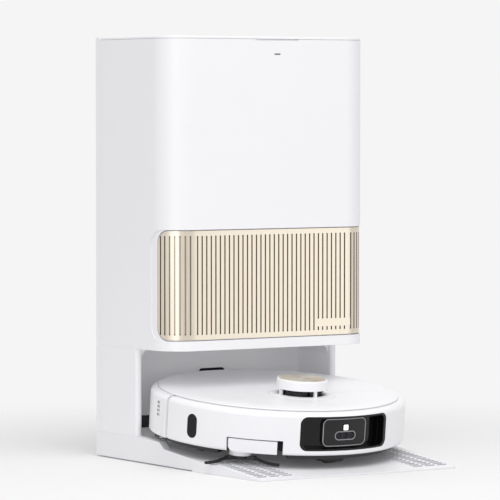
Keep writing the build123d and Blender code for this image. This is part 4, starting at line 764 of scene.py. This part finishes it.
class VAC_OT_dust_bag(bpy.types.Operator):
    """Fleece dust bag, blown up a little, with its card collar at the duct"""

    bl_idname = "vac.dust_bag"
    bl_label = "Dust bag"

    def execute(self, context):
        low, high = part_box("dust_bag")
        middle, span = (low + high) / 2, high - low
        cream = context.scene.vac_colours.fleece[:]
        fleece = pile("spunbond_fleece", cream, 3.0 * MM, 0.2 * MM, 0.85)
        slack = 9 * MM
        inside = span - Vector((slack, slack, slack))
        bm = bmesh.new()
        bmesh.ops.create_cube(bm, size=1.0)
        bmesh.ops.transform(
            bm, verts=bm.verts,
            matrix=Matrix.Translation(middle) @ Matrix.Diagonal((*inside, 1)),
        )
        bmesh.ops.bevel(
            bm, geom=bm.edges[:], offset=12 * MM, offset_type="OFFSET", segments=3,
            profile=0.5, affect="EDGES", material=-1,
        )
        bag = piece(bm, "fleece_dust_bag", fleece, "station", sharp=80.0)
        self.fill(context, bag, slack / 2 - 0.5 * MM)
        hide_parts("dust_bag")

        duct_low, duct_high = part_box("dust_duct")
        bm = bmesh.new()
        rounded_plate(bm, 74 * MM, 52 * MM, 2.4 * MM, 6 * MM, 0.3 * MM)
        card = pile("pressed_card", linear("#B8A98C"), 1.2 * MM, 0.05 * MM, 0.8)
        mouth = min((duct_low.x + duct_high.x) / 2, high.x - 40 * MM)
        place = Matrix.Translation((mouth, duct_low.y - 0.3 * MM, duct_high.z - 13 * MM))
        piece(bm, "bag_collar", card, "station", place)
        return {"FINISHED"}

    def fill(self, context, bag, most):
        """Blows the bag up as cloth, and keeps every point within a set distance of its start."""
        remesh = bag.modifiers.new("Even", "REMESH")
        remesh.mode, remesh.voxel_size = "VOXEL", 6 * MM
        self.apply(context, bag)
        start = [v.co.copy() for v in bag.data.vertices]
        cloth = bag.modifiers.new("Cloth", "CLOTH")
        cloth.settings.use_pressure = True
        cloth.settings.uniform_pressure_force = 4.0
        cloth.settings.effector_weights.gravity = 0.0
        last = 20
        cloth.point_cache.frame_start, cloth.point_cache.frame_end = 1, last
        for step in range(1, last + 1):
            context.scene.frame_set(step)
        self.apply(context, bag)
        context.scene.frame_set(1)
        for v, origin in zip(bag.data.vertices, start):
            moved = v.co - origin
            crease = noise.noise(origin / (22 * MM)) * 1.2 * MM
            if moved.length > most:
                moved *= most / moved.length
            v.co = origin + moved - v.normal * abs(crease)
        smooth = bag.modifiers.new("Soft", "SUBSURF")
        smooth.levels = smooth.render_levels = 1

    @staticmethod
    def apply(context, bag):
        """Puts the modifiers' result into the mesh."""
        shape = bpy.data.meshes.new_from_object(
            bag.evaluated_get(context.evaluated_depsgraph_get())
        )
        bag.modifiers.clear()
        bag.data = shape
        shape.shade_smooth()


class VAC_OT_stage(bpy.types.Operator):
    """Pale floor, soft lights and the camera"""

    bl_idname = "vac.stage"
    bl_label = "Stage"

    def execute(self, context):
        scene = context.scene
        pale = scene.vac_colours.studio[:]
        scene.view_settings.view_transform = "Standard"
        self.world(scene, pale)
        self.floor(scene, pale)
        self.lamp(scene, "top_softbox", (-0.6, -1.4, 3.0), (0, 0, 0.1), 2.6, 50)
        self.lamp(scene, "fill_softbox", (-2.4, -1.6, 1.0), (0, 0, 0.1), 2.0, 12, False)
        self.lamp(scene, "over_softbox", (0.3, -1.4, 2.4), (0, 0, 0.1), 2.0, 6, False)
        self.lamp(scene, "panel_strip", (3.1, -3.9, 0.1), (0, -0.2, 0.28), 1.6, 7)
        self.lamp(scene, "corner_strip", (-2.9, -2.7, 0.1), (-0.1, -0.2, 0.28), 1.2, 4)
        self.camera(scene)
        return {"FINISHED"}

    @staticmethod
    def world(scene, pale):
        """Even light all round; the camera, metal and glass see the plain background."""
        world = scene.world or bpy.data.worlds.new("studio")
        scene.world = world
        world.use_nodes = True
        tree = world.node_tree
        tree.nodes.clear()
        path = add(tree, "ShaderNodeLightPath")
        seen = add(
            tree, "ShaderNodeMath", operation="MAXIMUM",
            links={0: path.outputs["Is Camera Ray"], 1: path.outputs["Is Glossy Ray"]},
        )
        seen = add(
            tree, "ShaderNodeMath", operation="MAXIMUM",
            links={0: seen.outputs[0], 1: path.outputs["Is Transmission Ray"]},
        )
        light = add(tree, "ShaderNodeBackground", {"Color": (1, 1, 1, 1), "Strength": 0.63})
        plain = add(tree, "ShaderNodeBackground", {"Color": pale, "Strength": 1.0})
        both = add(
            tree, "ShaderNodeMixShader",
            links={0: seen.outputs[0], 1: light.outputs[0], 2: plain.outputs[0]},
        )
        add(tree, "ShaderNodeOutputWorld", links={"Surface": both.outputs[0]})

    @staticmethod
    def floor(scene, pale):
        """A round floor that fades into the background away from the object."""
        bm = bmesh.new()
        bmesh.ops.create_circle(bm, cap_ends=True, segments=96, radius=3.0)
        mesh = bpy.data.meshes.new("floor")
        bm.to_mesh(mesh)
        bm.free()
        material, tree, shader = blank("matt_studio_floor", Roughness=0.9)
        shader.inputs["Base Color"].default_value = darker(pale, 0.93)
        shader.inputs["Specular IOR Level"].default_value = 0.0
        place = add(tree, "ShaderNodeTexCoord").outputs["Object"]
        reach = add(
            tree, "ShaderNodeVectorMath", operation="LENGTH", links={0: place}
        ).outputs["Value"]
        fade = add(
            tree, "ShaderNodeMapRange", {"From Min": 0.35, "From Max": 1.1}, {"Value": reach},
            interpolation_type="SMOOTHSTEP",
        ).outputs["Result"]
        clear = add(tree, "ShaderNodeBsdfTransparent")
        both = add(
            tree, "ShaderNodeMixShader",
            links={0: fade, 1: shader.outputs[0], 2: clear.outputs[0]},
        )
        tree.links.new(both.outputs[0], tree.nodes["Material Output"].inputs["Surface"])
        mesh.materials.append(material)
        made = bpy.data.objects.new("floor", mesh)
        made.location.z = -0.2 * MM
        scene.collection.objects.link(made)

    @staticmethod
    def lamp(scene, name, place, target, side, watts, shadow=True):
        """A square softbox that faces a point; a fill without shadow opens the dark corners."""
        data = bpy.data.lights.new(name, "AREA")
        data.size, data.energy = side, watts
        data.use_shadow = shadow
        made = bpy.data.objects.new(name, data)
        made.location = place
        made.rotation_euler = (Vector(target) - Vector(place)).to_track_quat("-Z", "Y").to_euler()
        scene.collection.objects.link(made)

    @staticmethod
    def camera(scene):
        """Long lens from the front left, a little above the tower's middle."""
        data = bpy.data.cameras.new("camera")
        data.lens, data.sensor_width = 248.8, 36.0
        data.clip_start, data.clip_end = 0.1, 50.0
        made = bpy.data.objects.new("camera", data)
        made.location = (-2.6348, -4.0013, 0.4924)
        turn, dip = math.radians(32.94), math.radians(2.366)
        level = math.cos(dip)
        aim = Vector((math.sin(turn) * level, math.cos(turn) * level, -math.sin(dip)))
        made.rotation_euler = aim.to_track_quat("-Z", "Y").to_euler()
        scene.collection.objects.link(made)
        scene.camera = made


OPERATORS = (
    VAC_OT_mouldings, VAC_OT_gold_trim, VAC_OT_sensors, VAC_OT_status_light,
    VAC_OT_vents_and_treads, VAC_OT_bay_trim, VAC_OT_running_gear, VAC_OT_works, VAC_OT_mop_pads,
    VAC_OT_dust_bag, VAC_OT_stage,
)


class VAC_PT_panel(bpy.types.Panel):
    """Lists the pieces and the settings"""

    bl_label = "Robot vacuum"
    bl_idname = "VAC_PT_panel"
    bl_space_type = "VIEW_3D"
    bl_region_type = "UI"
    bl_category = "Robot vacuum"

    def draw(self, context):
        for operator in OPERATORS:
            self.layout.operator(operator.bl_idname)
        for group in (context.scene.vac_colours, context.scene.vac_sizes):
            for name in group.__annotations__:
                self.layout.prop(group, name)


CLASSES = (VacColours, VacSizes, *OPERATORS, VAC_PT_panel)


def register():
    for item in CLASSES:
        bpy.utils.register_class(item)
    bpy.types.Scene.vac_colours = PointerProperty(type=VacColours)
    bpy.types.Scene.vac_sizes = PointerProperty(type=VacSizes)


def unregister():
    del bpy.types.Scene.vac_sizes
    del bpy.types.Scene.vac_colours
    for item in reversed(CLASSES):
        bpy.utils.unregister_class(item)


def main():
    register()
    bpy.ops.vac.mouldings()
    bpy.ops.vac.gold_trim()
    bpy.ops.vac.sensors()
    bpy.ops.vac.status_light()
    bpy.ops.vac.vents_and_treads()
    bpy.ops.vac.bay_trim()
    bpy.ops.vac.running_gear()
    bpy.ops.vac.works()
    bpy.ops.vac.mop_pads()
    bpy.ops.vac.dust_bag()
    bpy.ops.vac.stage()


if __name__ == "__main__":
    main()
